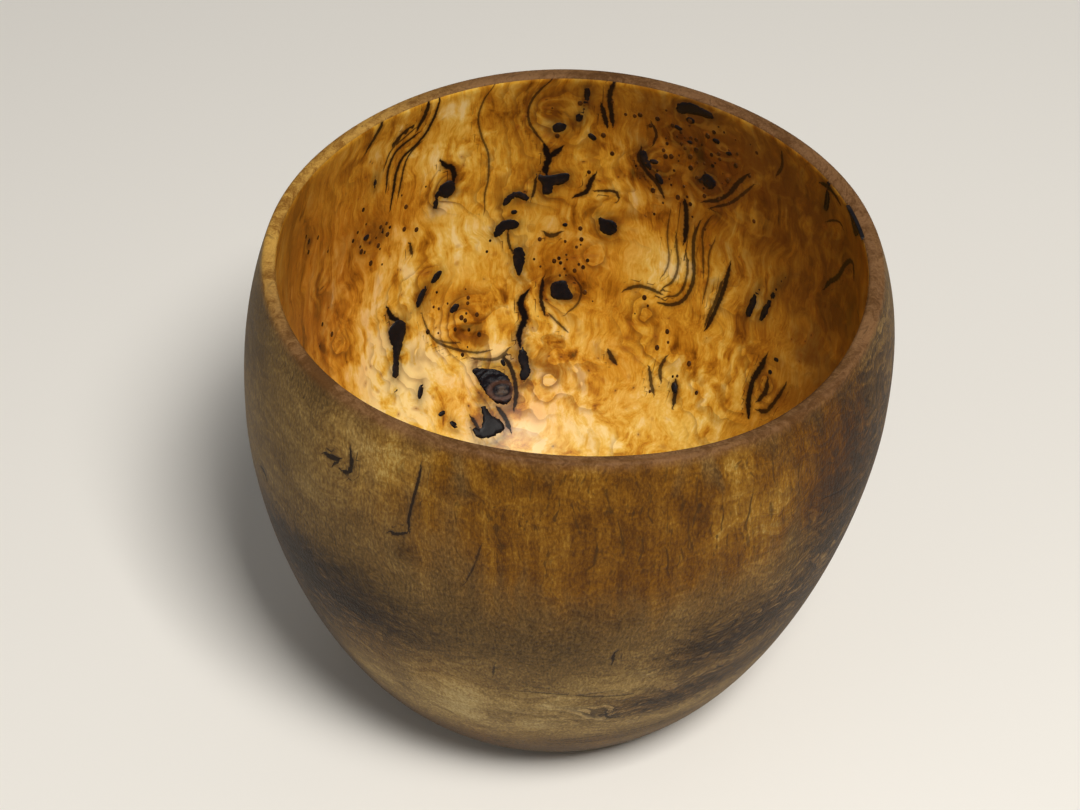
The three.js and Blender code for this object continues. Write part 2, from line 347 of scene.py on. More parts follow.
# %% The turner's cut
WALL_SIZES = {
    "Rim radius": RIM_RADIUS,
    "Rim height": RIM_HEIGHT,
    "Belly swell": BELLY_SWELL,
    "Shoulder drop": SHOULDER_DROP,
    "Foot radius": FOOT_RADIUS,
    "Floor thickness": FLOOR_THICKNESS,
    "Rim wall": RIM_WALL,
    "Belly wall": BELLY_WALL,
    "Edge ease": EDGE_EASE,
    "Foot offset": FOOT_OFFSET,
    "Centre X": float(CENTRE[0]),
    "Centre Y": float(CENTRE[1]),
}
RIGHT_ANGLE = math.pi / 2
CROWN_ROUNDNESS = 5.0
ROW_SLACK = 0.0001


def quarter(angle, fullness):
    """How far out and how far up a superellipse has come at an angle."""
    power = 2 / fullness
    out = angle.math("SINE").math("MAXIMUM", 0.0) ** power
    up = 1 - angle.math("COSINE").math("MAXIMUM", 0.0) ** power
    return out, up


def turned(row_share, size):
    """Radius and height of a row on the lathe, and how far it has come over the rim."""
    foot = row_share.step(0, FOOT_END, soft=False)
    outer_angle = row_share.step(FOOT_END, UNDERSIDE_END, 0, RIGHT_ANGLE, soft=False)
    outer_shoulder = row_share.step(UNDERSIDE_END, SHOULDER_END, soft=False)
    over_rim = row_share.step(SHOULDER_END, RIM_END, soft=False)
    inner_shoulder = row_share.step(RIM_END, BOWL_SHOULDER_END, 1, 0, soft=False)
    inner_angle = row_share.step(BOWL_SHOULDER_END, 1, RIGHT_ANGLE, 0, soft=False)

    belly_radius = size["Rim radius"] + size["Belly swell"]
    belly_height = size["Rim height"] - size["Shoulder drop"]
    bowl_belly = belly_radius - size["Belly wall"]
    bowl_rim = size["Rim radius"] - size["Rim wall"]
    eased_share = 1 - size["Edge ease"] / size["Shoulder drop"]

    out, up = quarter(outer_angle, UNDERSIDE_FULLNESS)
    rise = outer_shoulder * eased_share
    outer_radius = foot * size["Foot radius"] + (belly_radius - size["Foot radius"]) * out
    outer_radius = outer_radius - size["Belly swell"] * rise**SHOULDER_CLOSING
    outer_height = belly_height * up + size["Shoulder drop"] * rise

    out, up = quarter(inner_angle, BOWL_FULLNESS)
    rise = inner_shoulder * eased_share
    inner_radius = bowl_belly * out - (bowl_belly - bowl_rim) * rise**SHOULDER_CLOSING
    inner_height = size["Floor thickness"] + (belly_height - size["Floor thickness"]) * up
    inner_height = inner_height + size["Shoulder drop"] * rise

    is_bowl = row_share.math("GREATER_THAN", RIM_END - ROW_SLACK)
    height = outer_height * (1 - is_bowl) + inner_height * is_bowl
    crown = 1 - abs(over_rim * 2 - 1) ** CROWN_ROUNDNESS
    on_rim = over_rim.math("GREATER_THAN", 0.0) * (1 - is_bowl)
    height = height + crown * on_rim * size["Edge ease"]
    radius = outer_radius * (1 - over_rim) + inner_radius * over_rim
    return radius, height, over_rim


print("rows on the rim:", round((RIM_END - SHOULDER_END) * (ROWS - 1)))

# %% [markdown]
# The warp, and the tree that bends the grid
#
# The warp is the same sum of waves as in the plain functions above, written once more with
# nodes. The last steps weld the seam, smooth the shading and give the two faces their finishes.

# %% The warp and the whole tree
WELD_GAP = 1e-6
FIRST_BOWL_ROW = RIM_END - 0.004


def wave_sum(table, bearing):
    total = 0.0
    for count, along_x, along_y in table:
        turn = bearing * float(count)
        total = turn.math("COSINE") * along_x + turn.math("SINE") * along_y + total
    return total


def dried(radius, height, over_rim, bearing, size):
    """Where a point of the wall lies after the wood has warped, as three parts in metres."""
    level = height / size["Rim height"]
    stretch = wave_sum(WARP_OUT, bearing) / size["Rim radius"] * level + 1
    near_axis = (radius * 2 / size["Rim radius"]).math("MINIMUM", 1.0)
    lift = wave_sum(WARP_UP, bearing) * level ** float(WARP_UP_POWER) * near_axis
    lean = size["Foot offset"] * (1 - level)
    x = radius * bearing.math("COSINE") * stretch + lean + size["Centre X"]
    y = radius * bearing.math("SINE") * stretch + size["Centre Y"]
    x = x + over_rim * BOWL_SHIFT[0]
    y = y + over_rim * BOWL_SHIFT[1]
    return x * MM, y * MM, (height + lift) * MM


def kept(wires, mesh, name, value, kind, domain):
    """Stores a value on a mesh under a name."""
    settings = {"data_type": kind, "domain": domain}
    inputs = {"Geometry": mesh, "Name": name, "Value": value}
    return wires.add("GeometryNodeStoreNamedAttribute", settings, inputs)


def named(wires, name):
    """Reads a stored number back."""
    return wires.add("GeometryNodeInputNamedAttribute", {"data_type": "FLOAT"}, {"Name": name})


def coated(wires, mesh, finish, where=None):
    inputs = {"Geometry": mesh, "Selection": where, "Material": finish}
    return wires.add("GeometryNodeSetMaterial", {}, inputs)


def wall_tree(bowl_finish, outer_finish):
    tree, wires, _, size = group_with_inputs("turned_wall", WALL_SIZES)
    grid = wires.add("GeometryNodeMeshGrid", {}, [1.0, 1.0, COLUMNS + 1, ROWS])
    across, along, _ = wires.split(wires.add("GeometryNodeInputPosition"))
    round_share = across + 0.5
    row_share = along + 0.5
    map_place = wires.join(round_share, row_share, 0.0)
    mapped = kept(wires, grid, "OFBake", map_place, "FLOAT2", "CORNER")
    rowed = kept(wires, mapped, "row", row_share, "FLOAT", "POINT")

    bearing = round_share * (2 * math.pi)
    place = wires.join(*dried(*turned(row_share, size), bearing, size))
    bent = wires.add("GeometryNodeSetPosition", {}, {"Geometry": rowed, "Position": place})
    welded = {"Geometry": bent, "Distance": WELD_GAP}
    closed = wires.add("GeometryNodeMergeByDistance", {}, welded)
    smooth = wires.add("GeometryNodeSetShadeSmooth", {}, {"Geometry": closed})
    is_bowl = named(wires, "row").math("GREATER_THAN", FIRST_BOWL_ROW)
    waxed = coated(wires, smooth, outer_finish)
    finish_group(wires, coated(wires, waxed, bowl_finish, is_bowl))
    return tree


print("waves in the warp:", len(WARP_OUT), "outwards and", len(WARP_UP), "upwards")

# %% The wall as a plain mesh
bowl_finish = bpy.data.materials.new("oiled_burl")
outer_finish = bpy.data.materials.new("waxed_outside")
cup = made_plain(wall_tree(bowl_finish, outer_finish), WALL_SIZES, "burl_cup")
checked = bmesh.new()
checked.from_mesh(cup.data)
if checked.calc_volume(signed=True) < 0:
    bmesh.ops.reverse_faces(checked, faces=checked.faces)
    checked.to_mesh(cup.data)
open_edges = sum(not edge.is_manifold for edge in checked.edges)
print("wall:", len(cup.data.polygons), "faces,", open_edges, "open edges,",
      round(checked.calc_volume() * 1e6, 1), "cm3 of wood")
checked.free()

# %% [markdown]
# Bark and the knot, as outlines on the bowl
#
# Each island has a bearing in degrees, a height as a share of the rim's height, and a few
# corner points round it in millimetres, to the right and up, as seen from the middle of the
# bowl. The corners are the shape that a carver would mark with a pencil. A closed curve through
# them gives the soft natural edge.

# %% The islands
ISLANDS = {
    "knot_ringed": (105.5, 0.267, [
        (-4, 3.9), (-1.3, 3.5), (1.4, 2.1), (2.5, 0), (2.4, -2.4), (1, -3.4), (-0.9, -2.8),
        (-2.3, -0.9), (-3.2, 1.4)]),
    "bark_flame": (110.5, 0.209, [
        (-2.8, 0.5), (-2.3, -1.9), (0.6, -2.4), (3.1, -1.5), (2.4, 0.3), (1.3, 1.2), (0.5, 3.1),
        (-0.3, 3.9), (-0.5, 0.8), (-1.5, -0.5)]),
    "bark_lens": (98.3, 0.302, [
        (-0.9, 1.1), (-0.1, 3.4), (0.8, 1.6), (1.2, -0.7), (1.4, -1.4), (0.7, -2.7), (-0.2, -3.5),
        (-0.7, -2.2), (-0.5, -0.6)]),
    "bark_tadpole": (129, 0.423, [
        (-1.6, 1.7), (-0.9, 3.2), (0.9, 3.7), (2.1, 2.8), (2, 0.8), (0.9, -1.1), (-0.4, -3.2),
        (-1.4, -6), (-2.8, -5.8), (-1.9, -3.2), (-1.3, -0.9)]),
    "bark_small_drop": (113.6, 0.445, [
        (-1.2, -0.9), (-0.7, 0.3), (0.4, 1), (1.1, 0.6), (0.6, -0.4), (-0.5, -1.1)]),
    "bark_eye_middle": (89.3, 0.456, [
        (-1.8, 1.1), (-0.7, 1.9), (0.7, 1.9), (1.3, 0.6), (2.1, -1.5), (0.2, -1.9), (-1.7, -1.3)]),
    "bark_slash_lower": (121.3, 0.498, [
        (-1.3, -2), (-1.2, -0.9), (-0.3, 0.8), (1, 1.8), (1.4, 1.3), (0.6, -0.3), (-0.5, -1.9)]),
    "bark_slash_upper": (117.4, 0.529, [
        (-1.2, -0.9), (-0.8, 0.2), (0.2, 1.1), (1.1, 1.1), (0.8, 0), (-0.3, -1)]),
    "bark_twin_lower": (98.9, 0.528, [
        (-1, 1.8), (-0.3, 3), (0.8, 2.4), (1.1, 0.2), (0.6, -2), (-0.2, -3), (-0.9, -1)]),
    "bark_twin_upper": (101.3, 0.618, [
        (-2.5, -1.9), (-2.4, -0.7), (-1.8, 0.8), (0.1, 1.5), (1.6, 0.9), (1.9, -0.2), (1.1, -0.8),
        (-0.4, -0.9), (-1.4, -1.9)]),
    "bark_arch": (99.8, 0.687, [
        (-2.4, -1.2), (-1.9, 0.4), (-0.3, 1.5), (1.5, 0.9), (2.7, -0.8), (1.7, -0.7), (-0.2, 0.2),
        (-1.5, -1.2)]),
    "bark_eye_right": (80, 0.617, [
        (-1.9, 2.6), (-1, 1.9), (0.7, 1.7), (1.6, 0.6), (1.3, -0.9), (0, -1.6), (-1.3, -0.8),
        (-1.7, 0.9)]),
    "bark_cluster": (92, 0.728, [
        (-3.3, 1.7), (-1.3, 1.1), (2.2, 1.8), (2.4, 0.3), (1.2, -0.9), (-0.1, -1), (-0.3, -2.6),
        (-1.8, -2.8), (-2.1, -0.7), (-3, 0.5)]),
    "bark_drop": (114.8, 0.74, [
        (-1.7, 0.7), (-1, 1.7), (1, 1.8), (1.6, 0.3), (1.1, -1.1), (-0.2, -1.6), (-1.3, -0.9),
        (-1.9, -3.7), (-2.5, -3.3), (-2.3, -0.5)]),
    "bark_top_dot": (91.6, 0.865, [
        (-1.2, 0.3), (-0.7, 1), (0.5, 1.1), (1.2, 0.5), (1.1, -0.5), (0.3, -1), (-0.6, -1.2),
        (-1.1, -0.5)]),
    "bark_streak_top": (86.8, 0.932, [
        (0.5, 4), (1, 2.5), (0.7, 0), (0.2, -2.6), (-0.5, -4.8), (-1.1, -4), (-1.1, -2.8),
        (-0.2, -1.5), (0, 1), (0, 3.6)]),
    "bark_crescent": (73, 0.805, [
        (-1.1, 1.4), (-0.3, 2.6), (0.2, 1), (0.9, -0.8), (1.7, -2), (0.3, -1.8), (-0.8, -0.6)]),
    "bark_bar": (62.6, 0.972, [
        (-3.2, -1.5), (-2.7, 0.3), (-1.1, 1.2), (1.3, 1), (3.1, 0.4), (3, -1.1), (0.8, -1.2),
        (-1.2, -1.6), (-2.4, -2.1)]),
    "bark_eye_dim": (58.8, 0.79, [
        (-2.5, -0.7), (-1.7, 0.5), (-0.8, 1.8), (0.5, 1.5), (1.2, 0.4), (0.8, -0.8), (-0.2, -1.3),
        (-1.3, -0.6)]),
    "bark_streak_short": (45.2, 0.55, [
        (0.9, 4.4), (0.2, 2.2), (-0.6, -0.3), (-0.9, -3), (-0.2, -3.9), (0.4, -2.3), (0.7, 0.7)]),
    "bark_streak_long": (41, 0.595, [
        (2.5, 5.3), (1.4, 3.9), (0.3, 1.5), (-0.8, -2.5), (-1.5, -5.1), (-1.3, -6.4), (-0.5, -5.9),
        (0.1, -3), (0.8, 0.5), (1.7, 3.1)]),
    "bark_rim_branch": (28.5, 0.951, [
        (1, 3), (0.5, 1.5), (0.4, -0.9), (-0.5, -3.9), (-1.4, -4.3), (-1.1, -1.9), (-0.6, 0.5),
        (0.2, 3)]),
    "bark_rim": (16.5, 0.977, [
        (-3, 1.5), (-2, -0.4), (-1.2, -3.2), (0.1, -2), (1.7, -0.2), (3.8, 0.9), (4, 1.5)]),
}
print(len(ISLANDS), "islands, each for one piece of the frame")


# %% [markdown]
# Cutting an inlay to the bowl's curve
#
# A flat plate would stand off the curved wall. Instead each outline is filled with a fine
# triangle net while it is flat, and every point of the net is then laid on the bowl at its own
# bearing and height. The inlay stands a few hundredths of a millimetre proud, as bark that was
# filled with resin and sanded does, and reaches half a millimetre into the wood.

# %% Outlines, and the net inside them
NET_MARGIN = 0.55


def curve_point(before, here, after, far, t):
    """A point between here and after, on a smooth curve through all four."""
    slope = (after - before) * t
    bend = (2 * before - 5 * here + 4 * after - far) * t**2
    twist = (3 * here - before - 3 * after + far) * t**3
    return (2 * here + slope + bend + twist) / 2


def soft_outline(corners, seed, samples=7, raggedness=0.07):
    """A closed smooth curve through the corners, with a slightly ragged edge."""
    points = np.array(corners, float)
    before, after, far = (np.roll(points, shift, 0) for shift in (1, -1, -2))
    curve = []
    for i in range(len(points)):
        for t in np.arange(samples) / samples:
            curve.append(curve_point(before[i], points[i], after[i], far[i], t))
    curve = np.array(curve)
    random = np.random.default_rng(seed)
    return curve + random.normal(0, raggedness, curve.shape)


def distance_to(curve, points, closed=True):
    """For each point: its distance to a curve, the nearest segment and how far along it."""
    start = curve if closed else curve[:-1]
    end = np.roll(curve, -1, 0) if closed else curve[1:]
    side = end - start
    away = points[:, None] - start[None]
    share = (away * side).sum(-1) / np.maximum((side**2).sum(-1), 1e-12)
    share = np.clip(share, 0, 1)
    gap = np.linalg.norm(away - share[..., None] * side, axis=-1)
    nearest = gap.argmin(1)
    rows = np.arange(len(points))
    return gap[rows, nearest], nearest, share[rows, nearest]


def net_in(curve, spacing):
    """The points and triangles of a net that fills a closed flat curve."""
    low, high = curve.min(0), curve.max(0)
    xs = np.arange(low[0], high[0], spacing)
    ys = np.arange(low[1], high[1], spacing)
    grid = np.stack(np.meshgrid(xs, ys), -1).reshape(-1, 2)
    grid = grid[distance_to(curve, grid)[0] > spacing * NET_MARGIN]
    points = [Vector(p) for p in np.vstack([curve, grid])]
    border = [(i, (i + 1) % len(curve)) for i in range(len(curve))]
    net = geometry.delaunay_2d_cdt(points, border, [], 1, 1e-6)
    return np.array([tuple(p) for p in net[0]]), [tuple(f) for f in net[2]]


island_curves = {}
for order, (name, (bearing, level, corners)) in enumerate(ISLANDS.items()):
    island_curves[name] = (bearing, level * RIM_HEIGHT, soft_outline(corners, order))
widths = [float(np.ptp(curve[:, 0])) for _, _, curve in island_curves.values()]
print("islands from", round(min(widths), 1), "to", round(max(widths), 1), "mm wide")

# %% From outline to inlay
PROUD = 0.035
INLAY_DEPTH = 0.5
DOME_EDGE = 0.25
BELOW_RIM = 0.15


def laid_on_bowl(flat, bearing, height, proud):
    """Puts flat points, given round a place on the bowl, on the bowl's own face."""
    step = 0.01
    up = np.linalg.norm(on_bowl(bearing, height + step) - on_bowl(bearing, height - step))
    tall = np.minimum(height + flat[:, 1] * (2 * step / up), RIM_HEIGHT - BELOW_RIM)
    lean = [FOOT_OFFSET * (1 - height / RIM_HEIGHT), 0]
    out = np.linalg.norm(on_bowl(bearing, height)[:2] - BOWL_CENTRE - lean)
    turn = bearing - flat[:, 0] / out
    across = on_bowl(turn - step, tall) - on_bowl(turn + step, tall)
    along = on_bowl(turn, tall + step) - on_bowl(turn, tall - step)
    inward = np.cross(across, along)
    inward /= np.linalg.norm(inward, axis=1)[:, None]
    return on_bowl(turn, tall) + inward * proud


def inlay(name, pieces, finish, spacing=0.6, proud=PROUD):
    """One mesh object of closed inlays: pieces are (bearing in degrees, height, curve)."""
    mesh = bmesh.new()
    for bearing, height, curve in pieces:
        flat, faces = net_in(curve, spacing)
        rim = distance_to(curve, flat)[0]
        dome = proud * np.minimum(1, rim / DOME_EDGE)
        angle = math.radians(bearing)
        top = laid_on_bowl(flat, angle, height, dome[:, None])
        bottom = laid_on_bowl(flat, angle, height, -INLAY_DEPTH)
        upper = [mesh.verts.new(p * MM) for p in top]
        lower = [mesh.verts.new(p * MM) for p in bottom]
        for face in faces:
            mesh.faces.new([upper[i] for i in face])
            mesh.faces.new([lower[i] for i in reversed(face)])
        count = len(curve)
        for i in range(count):
            j = (i + 1) % count
            mesh.faces.new([upper[j], upper[i], lower[i], lower[j]])
    bmesh.ops.recalc_face_normals(mesh, faces=mesh.faces)
    for face in mesh.faces:
        face.smooth = len(face.verts) == 3
    data = bpy.data.meshes.new(name)
    mesh.to_mesh(data)
    mesh.free()
    data.materials.append(finish)
    return linked(name, data)


bark_finish = bpy.data.materials.new("sealed_bark")
knot_finish = bpy.data.materials.new("dead_knot")
island_pieces = {}
for name, island in island_curves.items():
    finish = knot_finish if name == "knot_ringed" else bark_finish
    island_pieces[name] = inlay(name + "_inlay", [island], finish)
print("inlays:", sum(len(p.data.polygons) for p in island_pieces.values()), "faces")

# %% [markdown]
# Small spots of bark
#
# Between the islands lie crumbs of the same bark, most of them a millimetre or two across. An
# outline for each would be wasted on so small a thing, so each is a tilted oval with a ragged
# edge. They are cut to the bowl in the same way as the islands, and kept together as one piece.

# %% Small spots
SPOTS = [
    # bearing, height, half width and half height in mm, tilt in degrees
    (126.3, 24.6, 1.5, 0.55, 60), (122.5, 20.2, 0.8, 0.45, 10), (132.8, 26.6, 0.9, 0.35, 35),
    (120.2, 18.2, 1.0, 0.5, -60), (100.1, 53.2, 0.6, 0.55, 0), (63.6, 76.4, 0.8, 0.75, 0),
    (84.6, 68.8, 1.0, 0.55, -50), (71.2, 65.6, 0.8, 0.55, 0), (69.8, 62.2, 1.3, 0.6, -60),
    (66.4, 74, 0.9, 0.5, -20), (57.8, 73.8, 0.7, 0.6, 0), (54.8, 72.2, 0.7, 0.45, 30),
    (63.6, 71.6, 0.6, 0.4, 0), (66.6, 67.4, 0.45, 0.3, 0), (66.2, 66, 0.4, 0.25, 0),
    (134.8, 57.9, 0.75, 0.6, 0), (130.4, 57.2, 0.35, 1.1, 0), (132.5, 68.2, 0.4, 1.5, 0),
    (155.0, 67.0, 0.4, 0.9, 0), (103.4, 25.1, 0.4, 0.8, 20), (89.0, 44.2, 0.5, 0.35, 0),
    (89.2, 50.2, 0.6, 0.45, 0), (35.6, 37.3, 0.7, 0.4, 20), (35.9, 34.6, 0.5, 0.5, 0),
    (58.2, 24.2, 0.55, 1.1, 25), (61.9, 23.4, 0.5, 0.3, 0), (53.8, 33.8, 0.35, 0.5, 0),
    (122.4, 53.2, 0.3, 0.3, 0), (107.0, 30.4, 0.35, 0.3, 0), (111.9, 33.5, 0.4, 0.3, 0),
    (109.5, 27.6, 0.6, 0.25, 0), (114.4, 29.9, 0.6, 0.25, 0), (111.0, 36.0, 0.4, 0.3, 0),
]


def oval(width, tall, tilt, seed):
    angle = np.linspace(0, 2 * np.pi, 18, endpoint=False)
    turn = math.radians(tilt)
    x, y = width * np.cos(angle), tall * np.sin(angle)
    ring = np.stack([x * math.cos(turn) - y * math.sin(turn),
                     x * math.sin(turn) + y * math.cos(turn)], -1)
    return ring + np.random.default_rng(seed).normal(0, 0.05 * min(width, tall), ring.shape)


spot_curves = []
for order, (bearing, height, *shape) in enumerate(SPOTS):
    spot_curves.append((bearing, height, oval(*shape, order)))
spots = inlay("small_bark_spots", spot_curves, bark_finish, spacing=0.5, proud=0.02)
print("spots:", len(SPOTS))

# %% [markdown]
# How grain runs through a burl
#
# In plain timber the grain runs straight. In a burl it parts round every bud and knot, like
# water round stones, and closes again behind them. That is the flow of a fluid past cylinders,
# so the same formula bends the grain here. Each eye pushes the coordinates aside near it, and
# the textures read the pushed coordinates. They are worked out once for each vertex, in NumPy,
# because they are smooth: the textures themselves stay as sharp as the render needs.
#
# Growth rings are surfaces inside the wood, which the bowl cuts into lines. A second number
# says how deep in the trunk a vertex lies, with a cone raised under every eye. Lines of equal
# depth then wander and close round the eyes, as they do on the real cup.

# %% Eyes of the burl
BOWL_EYES = [
    # bearing, height, radius in mm
    (89.3, 37.2, 2.6), (80, 50.3, 2.2), (113, 34.5, 4.2), (105, 21.8, 3.4), (101, 52.5, 2.2),
    (92.3, 59, 2.6), (94, 74, 3.0), (115, 60.5, 2.2), (58.8, 64.6, 2.4), (70.5, 66, 2.6),
    (63, 78, 2.6), (129, 36, 2.0), (70, 34, 3.4), (35.5, 32, 2.8), (134.5, 57.5, 2.0),
    (155, 66.5, 1.6), (83, 43, 2.2), (92, 22, 1.4), (21, 67, 2.0), (146, 41, 1.8),
    (66, 72, 2.0), (56, 72.5, 1.8), (150, 55, 1.8), (120, 45, 1.6),
]
OUTER_EYES = [
    (229, 53, 2.6), (237, 56, 1.8), (208, 57, 2.0), (228, 73, 2.2), (222, 45, 2.4),
    (322, 43, 2.4), (305, 27, 2.4), (243, 63, 1.4), (214, 47, 2.0), (296, 46, 2.2),
]
random = np.random.default_rng(41)
HIDDEN_EYES = (
    # eyes on the far sides: how many, and the ranges of bearing, height and radius
    (BOWL_EYES, 26, (178, 372), (20, 76), (1.2, 2.8)),
    (OUTER_EYES, 22, (-20, 190), (14, 76), (1.4, 3)),
)
for eyes, count, *ranges in HIDDEN_EYES:
    for _ in range(count):
        eyes.append(tuple(random.uniform(low, high) for low, high in ranges))
print(len(BOWL_EYES), "eyes in the bowl,", len(OUTER_EYES), "outside")

# %% [markdown]
# Asking every vertex where it is
#
# Whatever is painted on the wall has a bearing and a height, so each vertex must know its own.
# The warp is undone for it first. From then on a pattern is one line of arithmetic over all the
# vertices at once, and is kept on the mesh as an attribute that the materials read.

# %% Places on the cup's mesh
MID_RIM = (SHOULDER_END + RIM_END) / 2


def stored(name, values):
    """Keeps one number or one vector for each vertex of the cup."""
    values = np.asarray(values, np.float32)
    kind = "FLOAT" if values.ndim == 1 else "FLOAT_VECTOR"
    layer = cup.data.attributes.new(name, kind, "POINT")
    layer.data.foreach_set("value" if values.ndim == 1 else "vector", values.ravel())


points = np.empty(len(cup.data.vertices) * 3, np.float32)
cup.data.vertices.foreach_get("co", points)
points = points.reshape(-1, 3).astype(float) / MM
row = np.empty(len(points), np.float32)
cup.data.attributes["row"].data.foreach_get("value", row)
in_bowl = row > MID_RIM
bearing, height = place_of(points, CENTRE)
bowl_bearing, bowl_height = place_of(points, BOWL_CENTRE)
bearing[in_bowl] = bowl_bearing[in_bowl]
height[in_bowl] = bowl_height[in_bowl]
girth = np.hypot(points[:, 0] - CENTRE[0], points[:, 1] - CENTRE[1])
print("vertices in the bowl:", int(in_bowl.sum()), "of", len(points))


def from_place(bearing_degrees, place_height):
    """For every vertex: how far right and up it lies of a place, on the wall, in mm."""
    turn = np.radians(bearing_degrees) - bearing
    turn = (turn + np.pi) % (2 * np.pi) - np.pi
    return turn * girth, height - place_height


# %% Grain pushed aside by the eyes
EYE_PUSH, EYE_CORE, EYE_LIFT = 1.1, 1.3, 0.3
CONE_HEIGHT, CONE_WIDTH = 3.2, 1.5
EYE_GLOW = 2.2
BOWL_TRUNK = (0.55, 0.3, 0.12)
OUTER_TRUNK = (0.16, 0.1, 0.6)
GRAIN_SCALE = 0.1

pushed = np.zeros_like(points)
depth = np.zeros(len(points))
ring_gap = np.full(len(points), 99.0)
for eyes, side in ((BOWL_EYES, in_bowl), (OUTER_EYES, ~in_bowl)):
    for eye_bearing, eye_height, radius in eyes:
        right, up = from_place(eye_bearing, eye_height)
        spread = right**2 + up**2
        aside = -(radius**2) * EYE_PUSH * right / (spread + EYE_CORE * radius**2)
        along = radius**2 * EYE_LIFT * up / (spread + radius**2)
        aside = np.where(side, aside, 0)
        along = np.where(side, along, 0)
        pushed[:, 0] += aside * np.sin(bearing)
        pushed[:, 1] -= aside * np.cos(bearing)
        pushed[:, 2] += along
        reach = np.sqrt(spread)
        cone = CONE_HEIGHT * radius * np.exp(-reach / (CONE_WIDTH * radius))
        depth += np.where(side, cone, 0)
        ring_gap = np.where(side, np.minimum(ring_gap, reach / radius), ring_gap)
trunk = ((points * across_rings).sum(1) for across_rings in (BOWL_TRUNK, OUTER_TRUNK))
depth += np.where(in_bowl, *trunk)
stored("grain", (points + pushed) * GRAIN_SCALE)
stored("depth", depth)
stored("eye", np.exp(-(ring_gap**2) / EYE_GLOW))
print("grain pushed by up to", round(float(np.abs(pushed).max()), 2), "mm")

# %% [markdown]
# Zones of colour, light and shade
#
# Burl is never one colour. Sapwood is cream, heartwood is copper, and where fungus has begun to
# work the wood turns dark or purple. The pale and dark ovals also hold painted light and shade:
# the floor and lower back wall of the bowl are painted pale where the lamp lights them, its upper
# right wall is painted dark as shade, and the outside is painted darker near the foot as a
# shadow. A painter would block in these zones with a wide brush before any detail, and so does
# this cell: each zone is a soft oval with a bearing, a height, two radii in millimetres and a
# strength. Noise in the material breaks up their edges.

# %% Painting the zones
# pale and dark ovals of the bowl: the wood's own tone, with painted light on the floor and lower
# back wall and painted shade on the upper right wall (bearings 10 to 61)
BOWL_TONE_AND_LIGHT = [
    (126, 27, 10, 9, 0.6), (137, 36, 6, 10, 0.45), (90, 16, 17, 4, 0.5), (107, 46, 7, 6, 0.2),
    (70, 44, 6, 6, 0.4), (119, 48, 9, 6, 0.2), (121, 66, 5, 5, 0.25), (100, 28, 10, 5, 0.3),
    (82, 62, 5, 9, 0.2), (109, 72, 6, 12, 0.2), (52, 22, 14, 6, 0.15), (115, 53, 8, 5, 0.2),
    (55, 78, 20, 8, -0.42), (61, 68, 9, 9, -0.28), (35, 66, 18, 16, -0.38), (24, 46, 9, 14, -0.3),
    (148, 50, 13, 15, -0.2), (135, 57, 4, 4, -0.2), (168, 68, 10, 14, -0.3), (94, 75, 4, 3, -0.3),
    (115, 34, 6, 5, -0.22), (87, 42, 6, 4, -0.2), (10, 60, 12, 20, -0.4), (103, 75, 4, 6, -0.12),
    (98, 40, 4, 8, -0.1), (76, 40, 3, 5, -0.1), (47, 60, 9, 10, -0.18), (200, 60, 20, 20, -0.2),
    (250, 40, 22, 16, 0.25), (300, 60, 20, 16, -0.2), (340, 30, 14, 12, 0.2),
    (95, 68, 34, 12, -0.16), (86, 52, 20, 6, -0.1), (80, 20, 12, 4, -0.12), (128, 34, 8, 8, 0.15),
]
BOWL_COPPER = [
    (147, 48, 12, 18, 0.8), (88, 24, 14, 7, 0.45), (115, 34, 6, 5, 0.5), (87, 43, 7, 6, 0.6),
    (160, 66, 12, 12, 0.5), (124, 58, 8, 6, 0.4), (63, 70, 10, 8, 0.5), (118, 22, 6, 4, 0.35),
    (99, 18, 8, 3, 0.5), (72, 56, 5, 5, 0.3), (220, 40, 20, 20, 0.4), (320, 50, 18, 18, 0.4),
]
